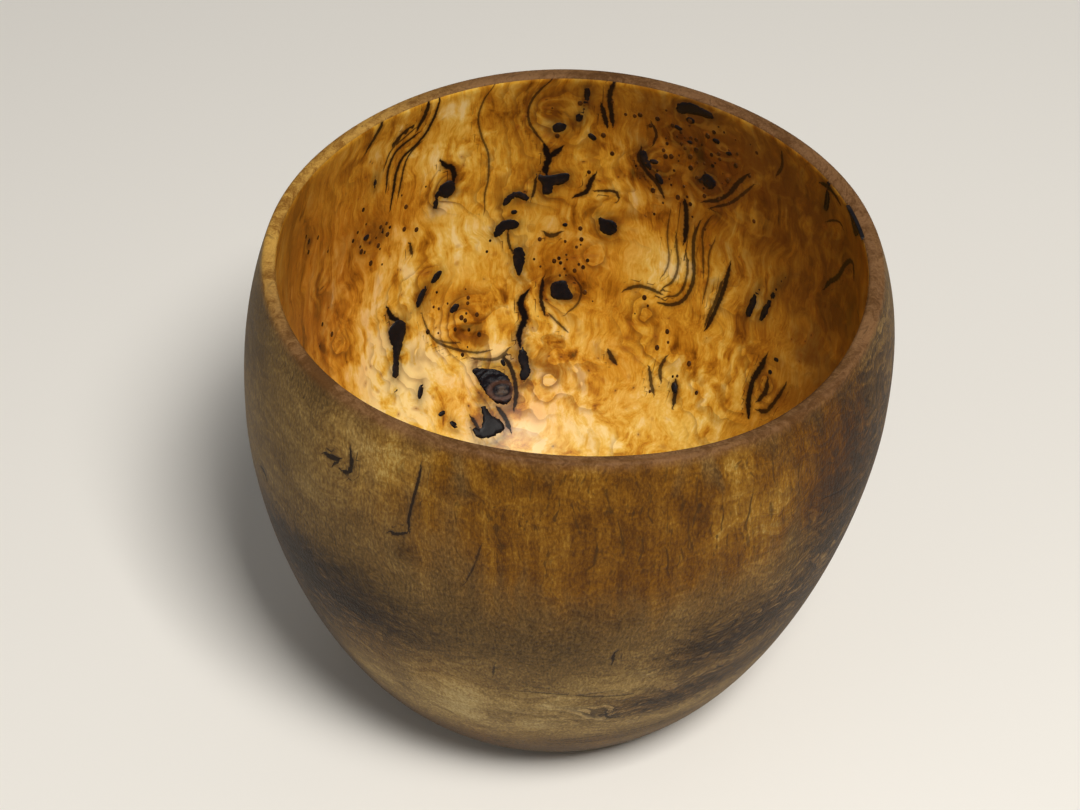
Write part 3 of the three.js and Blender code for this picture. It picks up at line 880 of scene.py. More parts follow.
# pale and dark ovals outside: the dark ones low down between bearings 206 and 286 are painted
# shadow near the foot; the rest is the wood's own tone
OUTER_TONE_AND_SHADOW = [
    (272, 74, 24, 11, 0.05), (297.5, 77, 2.2, 4, 0.3), (295.5, 72.5, 2.0, 4, 0.3),
    (293, 68, 1.8, 4, 0.28), (290.5, 63.5, 1.6, 4, 0.24), (288, 59, 1.4, 4, 0.16),
    (308, 72, 1.8, 5, 0.24), (305, 66.5, 1.8, 4, 0.24), (302, 61, 1.6, 4, 0.2),
    (314, 73, 1.2, 5, 0.2), (270, 26, 22, 9, 0.4),
    (250, 32, 12, 9, 0.25), (308, 68, 6, 4, 0.25), (238, 76, 6, 5, 0.3), (230, 26, 8, 4, 0.3),
    (210, 66, 12, 8, 0.12), (284, 40, 5, 4, 0.2), (318, 50, 6, 6, 0.15), (300, 25, 8, 3, 0.2),
    (228, 46, 14, 4.5, -0.55), (216, 48, 8, 5, -0.35), (232, 54, 6, 3, -0.3),
    (266, 50, 12, 7, -0.3), (302, 42, 11, 4.5, -0.5), (292, 29, 12, 3.5, -0.45),
    (286, 17, 12, 2, -0.3), (326, 58, 10, 9, -0.4), (324, 75, 10, 8, -0.35),
    (315, 66, 5, 4, -0.15), (243, 63, 1.5, 1.5, -0.4), (254, 21, 2, 0.8, -0.4),
    (240, 12, 16, 5, -0.35), (206, 30, 12, 14, -0.5), (310, 30, 9, 4, -0.2),
    (280, 8, 22, 5, -0.35), (214, 20, 10, 8, -0.4),
    (62, 28, 20, 10, 0.4), (150, 54, 9, 14, 0.3), (122, 20, 14, 6, 0.45), (84, 66, 5, 12, 0.35),
    (30, 70, 10, 8, 0.25), (182, 62, 7, 12, 0.25), (8, 28, 12, 8, 0.35), (112, 68, 3, 10, 0.35),
    (100, 44, 16, 5, -0.45), (50, 47, 12, 5, -0.4), (168, 40, 12, 5, -0.45), (345, 40, 9, 5, -0.3),
]
OUTER_AMBER = [
    (262, 74, 20, 11, 0.9), (285, 68, 18, 10, 0.8), (304, 72, 12, 9, 0.6), (60, 60, 40, 14, 0.5),
    (324, 72, 10, 9, 0.6), (100, 72, 20, 10, 0.6),
    (130, 70, 22, 10, 0.5), (240, 36, 10, 5, 0.2), (262, 14, 14, 5, 0.25),
]
OUTER_PURPLE = [
    (302, 43, 11, 5, 1.0), (292, 29, 12, 4, 0.9), (326, 48, 12, 16, 0.7), (226, 46, 14, 5, 1.0),
    (340, 60, 14, 24, 0.7), (216, 42, 9, 10, 0.6), (20, 40, 18, 20, 0.6),
    (180, 30, 14, 10, 0.5), (100, 30, 16, 10, 0.5),
]


ZONE_FALL = 0.7


def painted(zones, side):
    """The sum of soft ovals, for every vertex on one side of the wall."""
    total = np.zeros(len(points))
    for zone_bearing, zone_height, wide, tall, strength in zones:
        right, up = from_place(zone_bearing, zone_height)
        total += strength * np.exp(-ZONE_FALL * ((right / wide) ** 2 + (up / tall) ** 2))
    return np.where(side, total, 0)


# the first zone value is the wood's pale and dark tone together with painted light and shade
tone_and_shading = painted(BOWL_TONE_AND_LIGHT, in_bowl) + painted(OUTER_TONE_AND_SHADOW, ~in_bowl)
warm = painted(BOWL_COPPER, in_bowl) + painted(OUTER_AMBER, ~in_bowl)
purple = painted(OUTER_PURPLE, ~in_bowl)
stored("zones", np.stack([tone_and_shading, warm, purple], -1))
print("zones: light from", round(float(tone_and_shading.min()), 2), "to", round(float(tone_and_shading.max()), 2))

# %% [markdown]
# Veins and stains
#
# Thin dark veins run between the islands. They could be modelled as ribbons, but a vein is a
# stain in the wood and not a body, and it has a soft edge. So each vein is a pencil line on the
# wall, and every vertex keeps its distance to the nearest line in units of the line's width.
# The distance has a sign, one for each side, so that it passes smoothly through zero and the
# line stays sharp between two vertices. A second value fades the line out away from itself, and
# a third says how dark it is. Neighbouring lines go on different layers, as on tracing paper,
# or their signs would clash.

# %% Lines of the veins
VEINS = [
    # half width in mm, darkness, points as (bearing, height)
    (0.3, 0.9, [(52, 50), (52.4, 46), (53, 42), (53.8, 38.5), (54.6, 35.4)]),
    (0.22, 0.7, [(53.2, 46), (53.8, 42), (54.6, 38.6), (55.2, 36)]),
    (0.22, 0.95, [
        (118, 81), (118.5, 77.6), (120, 74.4), (122.4, 72.2), (125.4, 70.8), (126.9, 68.2),
        (127.5, 65), (128.4, 61)]),
    (0.3, 0.95, [(120.4, 81), (121.1, 78), (122.6, 75.6)]),
    (0.2, 0.9, [(121.6, 75), (124, 74), (127, 73), (129, 70), (129.4, 65.4)]),
    (0.12, 0.7, [(122, 76.6), (125.6, 75), (128.8, 73.4), (130.4, 70)]),
    (0.14, 0.8, [(121, 72.6), (123.8, 70.8), (125, 68.4), (125.6, 65.5), (126.4, 62.6)]),
    (0.3, 0.9, [(132.2, 81.5), (134, 78.8), (136.3, 76.3)]),
    (0.35, 0.9, [(123.7, 77), (126, 76), (128.6, 74.5)]),
    (0.13, 0.55, [
        (105.6, 81.5), (107.8, 78), (108.6, 74), (107.6, 70), (106, 66), (105.8, 61), (106.5, 57.6),
        (106.4, 54)]),
    (0.16, 0.65, [(93.4, 81.5), (96.6, 78.2), (98.1, 75.2), (97.9, 72), (96.4, 69.5), (94.4, 67)]),
    (0.42, 1.0, [(94.4, 67), (93.9, 65.4), (93.4, 64), (94, 62), (93.6, 60.6)]),
    (0.42, 1.0, [(90.8, 66.4), (92.3, 65.1), (93.4, 64)]),
    (0.36, 1.0, [(116.2, 67), (115.2, 65.6), (113.8, 64.9), (113.2, 63.4), (113.4, 61.6)]),
    (0.36, 1.0, [(130.1, 41.4), (129.9, 39.9), (128.9, 38.6), (127.7, 37.8)]),
    (0.32, 0.95, [(83, 76), (82.4, 74), (81.7, 71.3)]),
    (0.34, 0.95, [(80.4, 81.5), (81.4, 78), (80.9, 74.4), (80.4, 71.6)]),
    (0.32, 0.95, [(83.6, 61.2), (84.6, 59), (85.2, 57.3), (87.5, 56.2)]),
    (0.45, 1.0, [(96.8, 37.2), (98.6, 35), (97.8, 33), (97.6, 31.8), (99, 29.6), (98.9, 27.4)]),
    (0.25, 0.9, [(93.4, 39.4), (93.9, 36), (93, 32.6)]),
    (0.14, 0.6, [(92, 32.8), (89.8, 31.2), (87.4, 29.6)]),
    (0.3, 0.9, [(103.4, 26), (101.7, 24.4), (100.7, 22), (100.8, 19.8), (101.8, 18.2)]),
    (0.3, 0.95, [(106.6, 18.8), (104.8, 17.4), (103.6, 15.6)]),
    (0.25, 0.9, [(114.6, 18.4), (113.6, 17.2), (113.2, 15.8)]),
    (0.36, 0.95, [(63.8, 59.4), (63.4, 57.4), (63, 54.4), (63.1, 50.4)]),
    (0.24, 0.75, [
        (60, 56), (61, 52.6), (60.8, 49), (60, 45), (60.2, 42), (61.6, 39), (64.2, 37.6),
        (66.6, 37.4)]),
    (0.16, 0.6, [(62.4, 49), (61.6, 45.6), (61.8, 42), (63, 39.8), (65.6, 38.8)]),
    (0.14, 0.5, [(57.6, 58), (59.2, 54.4), (58.6, 50), (57.8, 45)]),
    (0.16, 0.6, [(65, 52), (64.6, 49), (63.8, 46), (64.4, 42.4), (66.4, 40.4)]),
    (0.12, 0.45, [(56, 54), (57.2, 50), (56.6, 45.4), (57, 40)]),
    (0.12, 0.45, [(66.8, 56), (67, 51.4), (66, 46), (67, 42.4)]),
    (0.24, 0.7, [(66.6, 39.2), (69.6, 39.7), (72.4, 39.6), (75.2, 38.2)]),
    (0.3, 0.8, [(50.2, 69.8), (52.6, 66.6), (54.4, 63.6), (57, 61.4), (59.8, 60.2)]),
    (0.2, 0.65, [(48.8, 68), (51.4, 64.6), (54, 61.8), (58, 59.4)]),
    (0.42, 0.95, [(38.4, 36.8), (38.6, 34.4), (39.3, 31.4), (38.4, 28.4), (36.3, 26)]),
    (0.34, 0.85, [(35.8, 33.4), (35, 31.4), (35.8, 29)]),
    (0.26, 0.8, [(34.6, 27.9), (32.4, 28.6), (31.4, 31.4), (30.6, 35)]),
    (0.32, 0.9, [
        (27.4, 57.2), (26.2, 59.6), (23.8, 62.4), (22, 66.2), (20.2, 68.6), (18.5, 69.2),
        (17.6, 66.4)]),
    (0.16, 0.8, [(29.4, 70.8), (27, 72.8), (24.4, 74.2), (23, 73.6)]),
    (0.2, 0.8, [(95.8, 60), (96.1, 57.4), (96.7, 55.4)]),
    (0.18, 0.75, [(101.3, 49.6), (101.3, 47.6), (100.5, 45)]),
    (0.3, 0.75, [(93.6, 48.6), (92, 47.9), (90.2, 48.6)]),
    (0.3, 0.8, [(77, 27.3), (76, 26.2), (74.6, 25.4)]),
    (0.3, 0.85, [(58.4, 25.4), (57.4, 23.4), (56.7, 21.6)]),
    (0.22, 0.7, [(62.4, 28.6), (63.2, 26.4), (62.2, 24.4)]),
    (0.22, 0.7, [(66, 26), (64.4, 23.6), (63, 22.2)]),
    (0.16, 0.6, [(121.4, 33.6), (119, 31), (115, 29), (110, 27.5), (106.4, 27.4)]),
    (0.14, 0.5, [(122, 37), (120.4, 32.6), (117, 30.6), (113.6, 29.9)]),
    (0.14, 0.5, [(86.6, 39.6), (84.8, 37.4), (85.6, 34.6), (88, 32.8)]),
    (0.18, 0.75, [(72.2, 73.8), (71, 71.4), (71.8, 69)]),
    (0.3, 0.8, [(74, 68), (74.4, 65.6), (72.8, 63.4), (70.4, 61.4), (68.6, 58.8)]),
    (0.18, 0.6, [(111, 26.6), (105, 25.8), (101.6, 27.2)]),
    (0.2, 0.8, [(83.4, 57.6), (79, 58), (78.4, 56.4)]),
    (0.2, 0.7, [(43.4, 72.6), (42, 75.4), (41.8, 79)]),
    (0.4, 1.0, [(31, 78.6), (28.6, 79.6), (26, 79.8), (23.6, 79)]),
    (0.25, 0.8, [(123.4, 52), (123, 49.4)]),
    (0.2, 0.7, [(311, 64), (313, 60), (311.5, 55)]),
    (0.3, 0.8, [(250, 60), (252, 54), (249, 47), (251, 41)]),
    (0.3, 0.8, [(286, 66), (283, 60), (285, 55)]),
]
OUTER_VEINS = [
    (0.3, 1.0, [(226, 72.6), (228.4, 73), (229.4, 73.3)]),
    (0.25, 0.9, [(229, 73), (228, 71.6)]),
    (0.25, 1.0, [(231.2, 75.6), (231.9, 73.4), (231.2, 72), (230, 71.7)]),
    (0.16, 0.9, [(244.4, 78), (243.9, 74), (243.2, 70), (243.2, 67)]),
    (0.2, 0.9, [(240, 65.6), (241.6, 66), (243.4, 67.2)]),
    (0.12, 0.5, [(255.4, 68), (254.4, 64), (253, 60.6)]),
    (0.12, 0.5, [(258, 43.4), (257.4, 40)]),
    (0.22, 0.9, [(278, 47.4), (277.7, 44.4)]),
    (0.2, 0.8, [(278.6, 29), (279.2, 26.8), (281.6, 26.4)]),
    (0.25, 0.8, [(206, 57.4), (208, 57.8), (209, 56.8)]),
    (0.12, 0.45, [(262, 36.6), (270, 36), (278, 34.6), (284, 34)]),
    (0.1, 0.4, [(272, 17.6), (282, 18.6), (294, 18)]),
    (0.1, 0.4, [(268, 15), (280, 15.6), (290, 15.4)]),
    (0.18, 0.7, [(300.4, 35), (301.4, 33)]),
    (0.14, 0.5, [(318, 64), (326, 61), (333, 60)]),
    (0.2, 0.8, [(48, 74), (49, 69), (47.6, 64), (48.6, 60)]),
    (0.3, 0.9, [(86, 56), (88, 53), (87.4, 50)]),
    (0.16, 0.7, [(92, 58), (94, 54), (92, 49), (95, 46)]),
    (0.14, 0.6, [(120, 60), (128, 58), (136, 59)]),
    (0.25, 0.9, [(134, 70), (135, 66), (133.6, 63)]),
    (0.12, 0.5, [(60, 34), (72, 32), (84, 33)]),
    (0.12, 0.5, [(140, 26), (152, 24), (164, 26)]),
    (0.2, 0.8, [(160, 64), (161, 59), (159.4, 55)]),
    (0.16, 0.7, [(20, 62), (23, 58), (22, 53)]),
]
print("veins drawn:", len(VEINS), "in the bowl and", len(OUTER_VEINS), "outside")

# %% From drawn lines to layers
VEIN_LAYERS = 3
VEIN_REACH = 1.5
VEIN_WEIGHT = 1.35
FAR_OFF = 9.0
TAPER_SHARE = 6
THINNEST_TIP = 0.15


def smooth_line(corners, samples=6):
    """An open curve through its points, each given as bearing and height."""
    corners = np.array(corners, float)
    first = 2 * corners[0] - corners[1]
    last = 2 * corners[-1] - corners[-2]
    ends = np.vstack([first, corners, last])
    line = []
    for i in range(len(corners) - 1):
        for t in np.arange(samples) / samples:
            line.append(curve_point(*ends[i : i + 4], t))
    return np.array([*line, corners[-1]])


layers = [np.tile([FAR_OFF, 0.0, 0.0], (len(points), 1)) for _ in range(VEIN_LAYERS)]
best_gaps = [np.full(len(points), VEIN_REACH) for _ in range(VEIN_LAYERS)]
for lines, side in ((VEINS, in_bowl), (OUTER_VEINS, ~in_bowl)):
    for order, (half_width, darkness, corners) in enumerate(lines):
        vein, best_gap = layers[order % VEIN_LAYERS], best_gaps[order % VEIN_LAYERS]
        line = smooth_line(corners)
        middle_bearing, middle_height = line.mean(0)
        right, up = from_place(middle_bearing, middle_height)
        scale = np.radians(1) * np.median(girth[side & (abs(up) < 3)])
        flat = np.stack([(middle_bearing - line[:, 0]) * scale, line[:, 1] - middle_height], -1)
        reach = np.abs(flat).max(0) + VEIN_REACH
        near = np.flatnonzero(side & (abs(right) < reach[0]) & (abs(up) < reach[1]))
        here = np.stack([right[near], up[near]], -1)
        gap, segment, share = distance_to(flat, here, closed=False)
        closer = gap < best_gap[near]
        near, here, gap = near[closer], here[closer], gap[closer]
        segment, share = segment[closer], share[closer]
        best_gap[near] = gap
        run = (segment + share) / (len(flat) - 1)
        past_end = np.where((run <= 0) | (run >= 1), gap, 0)
        taper = np.clip(np.minimum(run, 1 - run) * TAPER_SHARE, THINNEST_TIP, 1) ** 0.5
        along, off = flat[segment + 1] - flat[segment], here - flat[segment]
        side_sign = np.sign(along[:, 0] * off[:, 1] - along[:, 1] * off[:, 0])
        widths_off = side_sign * gap / (VEIN_WEIGHT * half_width * taper)
        vein[near, 0] = np.clip(widths_off, -FAR_OFF, FAR_OFF)
        fade = np.clip((VEIN_REACH - gap) / (0.5 * VEIN_REACH), 0, 1)
        vein[near, 1] = fade * np.clip(1.2 - past_end / 0.5, 0, 1)
        vein[near, 2] = darkness**0.6
for order, vein in enumerate(layers):
    stored("vein_" + str(order), vein)
print("vertices near a vein:", sum(int((vein[:, 1] > 0).sum()) for vein in layers))

# %% [markdown]
# Stains round the islands, and the rim
#
# Bark bleeds: tannin creeps out of it and darkens the wood round it by a millimetre or less, and
# a bigger island bleeds further. The rim is marked too, so that it can get a finish of its own
# without becoming a separate piece.

# %% Stains and the rim's band
STAIN_REACH = 12
FULL_STAIN_SIZE = 3
STAIN_DARKNESS = 0.8
RIM_BAND = 0.03

stain = np.zeros(len(points))
for bearing_degrees, island_height, curve in [*island_curves.values(), *spot_curves]:
    right, up = from_place(bearing_degrees, island_height)
    near = np.flatnonzero(in_bowl & (np.hypot(right, up) < STAIN_REACH))
    gap = distance_to(curve, np.stack([right[near], up[near]], -1))[0]
    size = min(1.0, float(np.ptp(curve, axis=0).max()) / FULL_STAIN_SIZE)
    halo = STAIN_DARKNESS * size * np.exp(-gap / (0.55 * size + 0.15))
    stain[near] = np.maximum(stain[near], halo)
stored("stain", stain)
stored("rim", np.clip(1 - np.abs(row - MID_RIM) / RIM_BAND, 0, 1))
print("stained vertices:", int((stain > 0.1).sum()))

# %% [markdown]
# The oiled burl of the bowl
#
# Many coats of hardened oil give depth: a thin clear coat over wood that is itself still a
# little rough. The colour is built in the order in which it came about. First the zones pick a
# place on a ramp from dark heart to cream sap, and with it the painted light and shade that
# they hold; where they are dark, the colour is also multiplied towards brown, partly for dark
# wood and partly as painted shade. Then come streaks along the grain, the curly mottle, thin
# growth lines, the clusters of tiny eyes, and last the veins and stains.


# %% Material helpers
def surface(material):
    """Empties a material's tree and gives its wires and its shader."""
    material.use_nodes = True
    tree = material.node_tree
    tree.nodes.clear()
    wires = Wires(tree)
    shader = wires.add("ShaderNodeBsdfPrincipled")
    wires.fill(tree.nodes.new("ShaderNodeOutputMaterial"), {"Surface": shader})
    return wires, shader.socket.node


def bumped(wires, height, strength, distance):
    inputs = {"Strength": strength, "Distance": distance, "Height": height}
    return wires.add("ShaderNodeBump", {}, inputs)


def stretched(wires, place, along):
    """Coordinates squeezed along Z, so that a texture is drawn out with the grain."""
    return wires.vector("MULTIPLY", place, (1.0, 1.0, along))


def burl_grain(wires, swirl_scale, swirl_size):
    """The grain, the grain bent by slow swirls, and the three zones of colour; the first also holds
    painted light and shade.
    """
    grain = wires.attribute("grain", "Vector")
    swirl = wires.noise(grain, swirl_scale, 2.0, out="Color")
    swirl = wires.vector("SUBTRACT", swirl, (0.5, 0.5, 0.5))
    bent = wires.vector("ADD", grain, wires.vector("MULTIPLY", swirl, swirl_size))
    return grain, bent, *wires.split(wires.attribute("zones", "Vector"))


def vein_masks(wires, wobble):
    """A soft mask and a sharp mask, both one where a vein runs, with an uneven edge."""
    soft, sharp = 0.0, 0.0
    for order in range(VEIN_LAYERS):
        across, near, dark = wires.split(wires.attribute("vein_" + str(order), "Vector"))
        uneven = abs(across) + wobble
        here = near.step(0.0, 0.6) * dark
        soft = (uneven.step(3.6, 0.8) * here).math("MAXIMUM", soft)
        sharp = (uneven.step(1.35, 0.65) * here).math("MAXIMUM", sharp)
    return soft, sharp


print("material helpers ready")

# %% Oiled burl
RINGS_PER_MM = 0.36

wires, shader = surface(bowl_finish)
grain, bent, tone_and_shading, warm, _ = burl_grain(wires, 1.3, (0.55, 0.55, 0.2))
eye = wires.attribute("eye")
depth = wires.attribute("depth")
cloud = wires.noise(bent, 0.9, 2.0, 0.5)
streak = wires.noise(stretched(wires, bent, 0.14), 4.4, 2.0, 0.5)
thread = wires.noise(stretched(wires, bent, 0.06), 12.0, 2.0, 0.55)
fibre = wires.noise(stretched(wires, bent, 0.1), 28.0, 3.0, 0.6)
mottle = wires.noise(wires.vector("MULTIPLY", bent, (1.0, 1.0, 0.7)), 2.8, 3.0, 0.55, 0.5)
speck = wires.noise(grain, 14.0, 3.0, 0.6)

busy = wires.noise(grain, 0.75, 1.0).step(0.38, 0.6)
tone_and_shading = tone_and_shading * (1 + (mottle - 0.5) * 2.5)
# dark: where the zones are darker than plain, partly dark wood and partly painted shade on the
# upper right wall
dark = (tone_and_shading * -1.3).clamp()
tone = 0.56 + tone_and_shading.math("MAXIMUM", -0.12) * 0.6 + (cloud - 0.5) * 0.7
tone = tone + (thread - 0.5) * 0.35 + (fibre - 0.5) * 0.4
tone = tone + (streak - 0.5) * (busy * 0.8 + 0.3) + (mottle - 0.5) * (busy * 1.1 + 0.1)
tone = tone + (streak + mottle - 1) * warm * 0.7
tone = tone + (speck - 0.5) * 0.16 - eye * 0.05
colour = wires.ramp(
    tone,
    (0.0, (0.055, 0.015, 0.001)),
    (0.2, (0.22, 0.072, 0.003)),
    (0.4, (0.47, 0.19, 0.01)),
    (0.58, (0.68, 0.35, 0.03)),
    (0.78, (0.84, 0.56, 0.11)),
    (1.0, (0.95, 0.77, 0.34)),
)
# the colour multiplied towards brown where dark is high: darker wood and painted shade
dark_wood_and_shade = wires.blend(1.0, colour, (0.24, 0.15, 0.08), "MULTIPLY")
colour = wires.blend(dark, colour, dark_wood_and_shade)
copper = (warm * 0.9 + (streak - 0.5) * 2.5 * warm + (mottle - 0.5) * 1.2).clamp()
rusty = wires.blend(1.0, colour, (0.86, 0.56, 0.36), "MULTIPLY")
colour = wires.blend(copper * 0.8, colour, rusty)

ring_shift = (wires.noise(bent, 0.8, 3.0, 0.5) - 0.5) * 16.0
ring = ((depth + ring_shift) * RINGS_PER_MM).math("FRACT")
ring_zone = (wires.noise(grain, 0.8, 1.0).step(0.42, 0.6) * 0.55 + eye * 1.1).clamp()
late_wood = ring.step(0.45, 0.93) * ring.step(1.0, 0.95)
early_wood = ring.step(0.1, 0.25) * ring.step(0.5, 0.35)
colour = wires.blend(early_wood * ring_zone * 0.7, colour, (0.2, 0.11, 0.015), "SCREEN")
colour = wires.blend(late_wood * ring_zone * 0.7, colour, (0.15, 0.045, 0.005))

cells = wires.add(
    "ShaderNodeTexVoronoi",
    {"feature": "F1"},
    {"Vector": bent, "Scale": 4.2, "Randomness": 1.0},
    "Distance",
)
pip_zone = (wires.noise(grain, 1.1, 1.0).step(0.5, 0.62) * 0.7 + eye).clamp()
colour = wires.blend(cells.step(0.36, 0.1) * pip_zone * 0.65, colour, (0.36, 0.12, 0.012))
colour = wires.blend(cells.step(0.12, 0.06) * pip_zone * 0.85, colour, (0.04, 0.015, 0.005))

bark_halo = wires.attribute("stain")
bark_halo = (bark_halo * 0.9 + (speck - 0.5) * 0.6 * bark_halo).clamp()
colour = wires.blend(bark_halo, colour, (0.05, 0.019, 0.006))
soft_veins, veins = vein_masks(wires, (speck - 0.5) * 1.6)
colour = wires.blend(soft_veins * 0.6, colour, (0.15, 0.05, 0.006))
colour = wires.blend(veins, colour, (0.006, 0.004, 0.004))

relief = fibre * 0.6 + mottle * 1.5 - veins * 0.6
wires.fill(shader, {
    "Base Color": colour,
    "Roughness": 0.46 + (fibre - 0.5) * 0.25 + (cloud - 0.5) * 0.2,
    "Specular IOR Level": 0.12,
    "Coat Weight": (1 - veins) * 0.34,
    "Coat Roughness": 0.3,
    "Coat IOR": 1.45,
    "Normal": bumped(wires, relief, 0.25, 0.0002),
})
print("bowl:", len(bowl_finish.node_tree.nodes), "nodes")

# %% [markdown]
# The waxed outside
#
# The outside cuts across the fibres in many places, so it shows end grain: a fine, dry, dusty
# speckle rather than a shine. It is browner and greyer than the bowl, amber where light sap
# comes through near the rim, and purple where the wood was stained. Its zones paint it darker
# near the foot as a shadow. The rim is only rubbed smooth, so it is the dullest part of all, and
# on its left and back a painted highlight makes it honey-bright.

# %% Waxed outside and rim
wires, shader = surface(outer_finish)
grain, bent, tone_and_shading, warm, purple = burl_grain(wires, 1.1, (0.6, 0.6, 0.9))
rim = wires.attribute("rim")
side_x, side_y, _ = wires.split(wires.object_place())
cloud = wires.noise(bent, 0.7, 3.0, 0.55)
flame = wires.noise(wires.vector("MULTIPLY", bent, (0.45, 0.45, 1.5)), 1.9, 4.0, 0.6, 1.0)
band = wires.noise(stretched(wires, bent, 0.09), 2.0, 2.0, 0.5)
streak = wires.noise(stretched(wires, grain, 0.04), 5.5, 4.0, 0.65)
fibre = wires.noise(stretched(wires, bent, 0.08), 24.0, 2.0, 0.6)
dust = wires.noise(stretched(wires, grain, 0.5), 30.0, 2.0, 0.6)
curl_place = wires.vector("MULTIPLY", bent, (0.5, 0.5, 1.1))
curl = wires.noise(curl_place, 5.5, 4.0, 0.65, 1.6)
hair = wires.noise(stretched(wires, bent, 0.02), 17.0, 1.0, 0.5)

# the outer zones: the wood's own tone, and painted shadow near the foot
tone_and_shading = tone_and_shading * (1 + (flame - 0.5) * 2.2 + (cloud - 0.5) * 1.2)
tone = 0.46 + tone_and_shading * 0.6 + (cloud - 0.5) * 0.45 + (flame - 0.5) * (purple * 1.4 + 0.4)
tone = tone + (curl - 0.5) * (purple * 1.8 + 0.2)
tone = tone + (fibre - 0.5) * 0.35 + (dust - 0.5) * 0.75
olive = wires.ramp(
    tone,
    (0.0, (0.022, 0.012, 0.003)),
    (0.25, (0.075, 0.042, 0.012)),
    (0.5, (0.17, 0.1, 0.03)),
    (0.75, (0.32, 0.21, 0.068)),
    (1.0, (0.5, 0.37, 0.155)),
)
amber = wires.ramp(
    tone + (band - 0.5) * 0.9 + (streak - 0.5) * 0.9,
    (0.0, (0.035, 0.012, 0.001)),
    (0.3, (0.095, 0.034, 0.002)),
    (0.55, (0.17, 0.068, 0.004)),
    (0.8, (0.28, 0.135, 0.014)),
    (1.0, (0.42, 0.26, 0.06)),
)
colour = wires.blend((warm * 1.2 + (band - 0.5) * 3.0 * warm).clamp(), olive, amber)
colour = wires.blend(hair.step(0.42, 0.28) * warm * 0.6, colour, (0.05, 0.022, 0.004))
stained = (purple * 1.1 + (flame - 0.5) * 3.5 * purple).clamp()
violet = wires.blend(1.0, colour, (0.52, 0.42, 0.4), "MULTIPLY")
colour = wires.blend(stained * 0.7, colour, violet)
ring = ((wires.attribute("depth") + (flame - 0.5) * 14.0) * RINGS_PER_MM).math("FRACT")
ring_line = ring.step(0.3, 0.9) * ring.step(1.0, 0.92)
colour = wires.blend(ring_line * (stained * 0.9 + 0.14), colour, (0.028, 0.016, 0.009))
soft_veins, veins = vein_masks(wires, (dust - 0.5) * 1.6)
colour = wires.blend(soft_veins * 0.4, colour, (0.05, 0.028, 0.014))
colour = wires.blend(veins * 0.95, colour, (0.012, 0.007, 0.005))

# the left and back of the rim, where a painted highlight makes the rim honey-bright instead of
# mauve
rim_highlight_side = side_x.step(-0.012, -0.04) * side_y.step(-0.03, 0.0)
patchy = (cloud + (curl - 0.5) * 0.9 + (dust - 0.5) * 0.35).step(0.3, 0.7)
mauve = wires.blend(patchy, (0.095, 0.04, 0.012), (0.21, 0.105, 0.045))
painted_rim_highlight = wires.blend(patchy, (0.24, 0.1, 0.012), (0.6, 0.34, 0.07))
rim_colour = wires.blend(rim_highlight_side, mauve, painted_rim_highlight)
scorched = curl.step(0.56, 0.66) * cloud.step(0.46, 0.56)
rim_colour = wires.blend(scorched * 0.6, rim_colour, (0.035, 0.015, 0.006))
colour = wires.blend(rim.step(0.15, 0.5) * 0.85, colour, rim_colour)

relief = fibre * 0.7 + dust * 1.4 + flame * 1.2 - veins * 1.2
wires.fill(shader, {
    "Base Color": colour,
    "Roughness": 0.56 + (dust - 0.5) * 0.3 + rim * 0.06,
    "Specular IOR Level": 0.1,
    "Normal": bumped(wires, relief, 0.45, 0.00025),
})
print("outside:", len(outer_finish.node_tree.nodes), "nodes")

# %% [markdown]
# Sealed bark
#
# Ingrown bark is nearly black, and crumbly under its seal. A plain black would look like a hole.
# Two noises, one coarse and one fine, move the colour a little along a dark ramp, and a weak coat
# stands for the resin over it.

# %% Bark
SEALED = {"Specular IOR Level": 0.15, "Coat Weight": 0.04, "Coat Roughness": 0.3}

wires, shader = surface(bark_finish)
place = wires.object_place()
crumb = wires.noise(place, 900.0, 4.0, 0.6)
patch = wires.noise(place, 220.0, 2.0)
colour = wires.ramp(
    crumb * 0.6 + patch * 0.5,
    (0.3, (0.003, 0.003, 0.004)),
    (0.6, (0.008, 0.007, 0.009)),
    (0.85, (0.035, 0.02, 0.013)),
)
wires.fill(shader, {
    "Base Color": colour,
    "Roughness": 0.55 + (crumb - 0.5) * 0.3,
    "Normal": bumped(wires, crumb, 0.5, 0.0001),
    **SEALED,
})
print("bark:", len(bark_finish.node_tree.nodes), "nodes")

# %% [markdown]
# The dead knot
#
# The knot is as dark as the bark but keeps rings of its own. Their centre is the knot's centre,
# so a Mapping node moves the pattern there, and no other object is needed. A sine of the distance
# from that centre gives the rings, and noise inside the sine makes them wander.

# %% Knot
KNOT_BEARING = math.radians(104.6)
KNOT_HEIGHT = 21.0

wires, shader = surface(knot_finish)
knot_place = on_bowl(KNOT_BEARING, KNOT_HEIGHT) * MM
place = wires.object_place()
centred = wires.add("ShaderNodeMapping", {}, {"Vector": place, "Location": tuple(-knot_place)})
squashed = wires.vector("MULTIPLY", centred, (0.8, 1.0, 1.25))
reach = wires.vector("LENGTH", squashed) / MM
crumb = wires.noise(place, 700.0, 4.0, 0.6)
rings = (reach * 4.2 + (wires.noise(place, 420.0, 3.0) - 0.5) * 14.0).math("SINE")
colour = wires.ramp(
    rings * 0.12 + 0.38 + (crumb - 0.5) * 1.3,
    (0.2, (0.003, 0.003, 0.006)),
    (0.55, (0.01, 0.009, 0.013)),
    (0.9, (0.06, 0.045, 0.036)),
)
brown_ring = reach.step(1.1, 1.7) * reach.step(2.4, 1.9)
colour = wires.blend(brown_ring * (0.25 + crumb * 0.5), colour, (0.14, 0.07, 0.045))
crumbs = reach.step(1.3, 0.7) * crumb.step(0.45, 0.62)
colour = wires.blend(crumbs * 0.7, colour, (0.12, 0.09, 0.07))
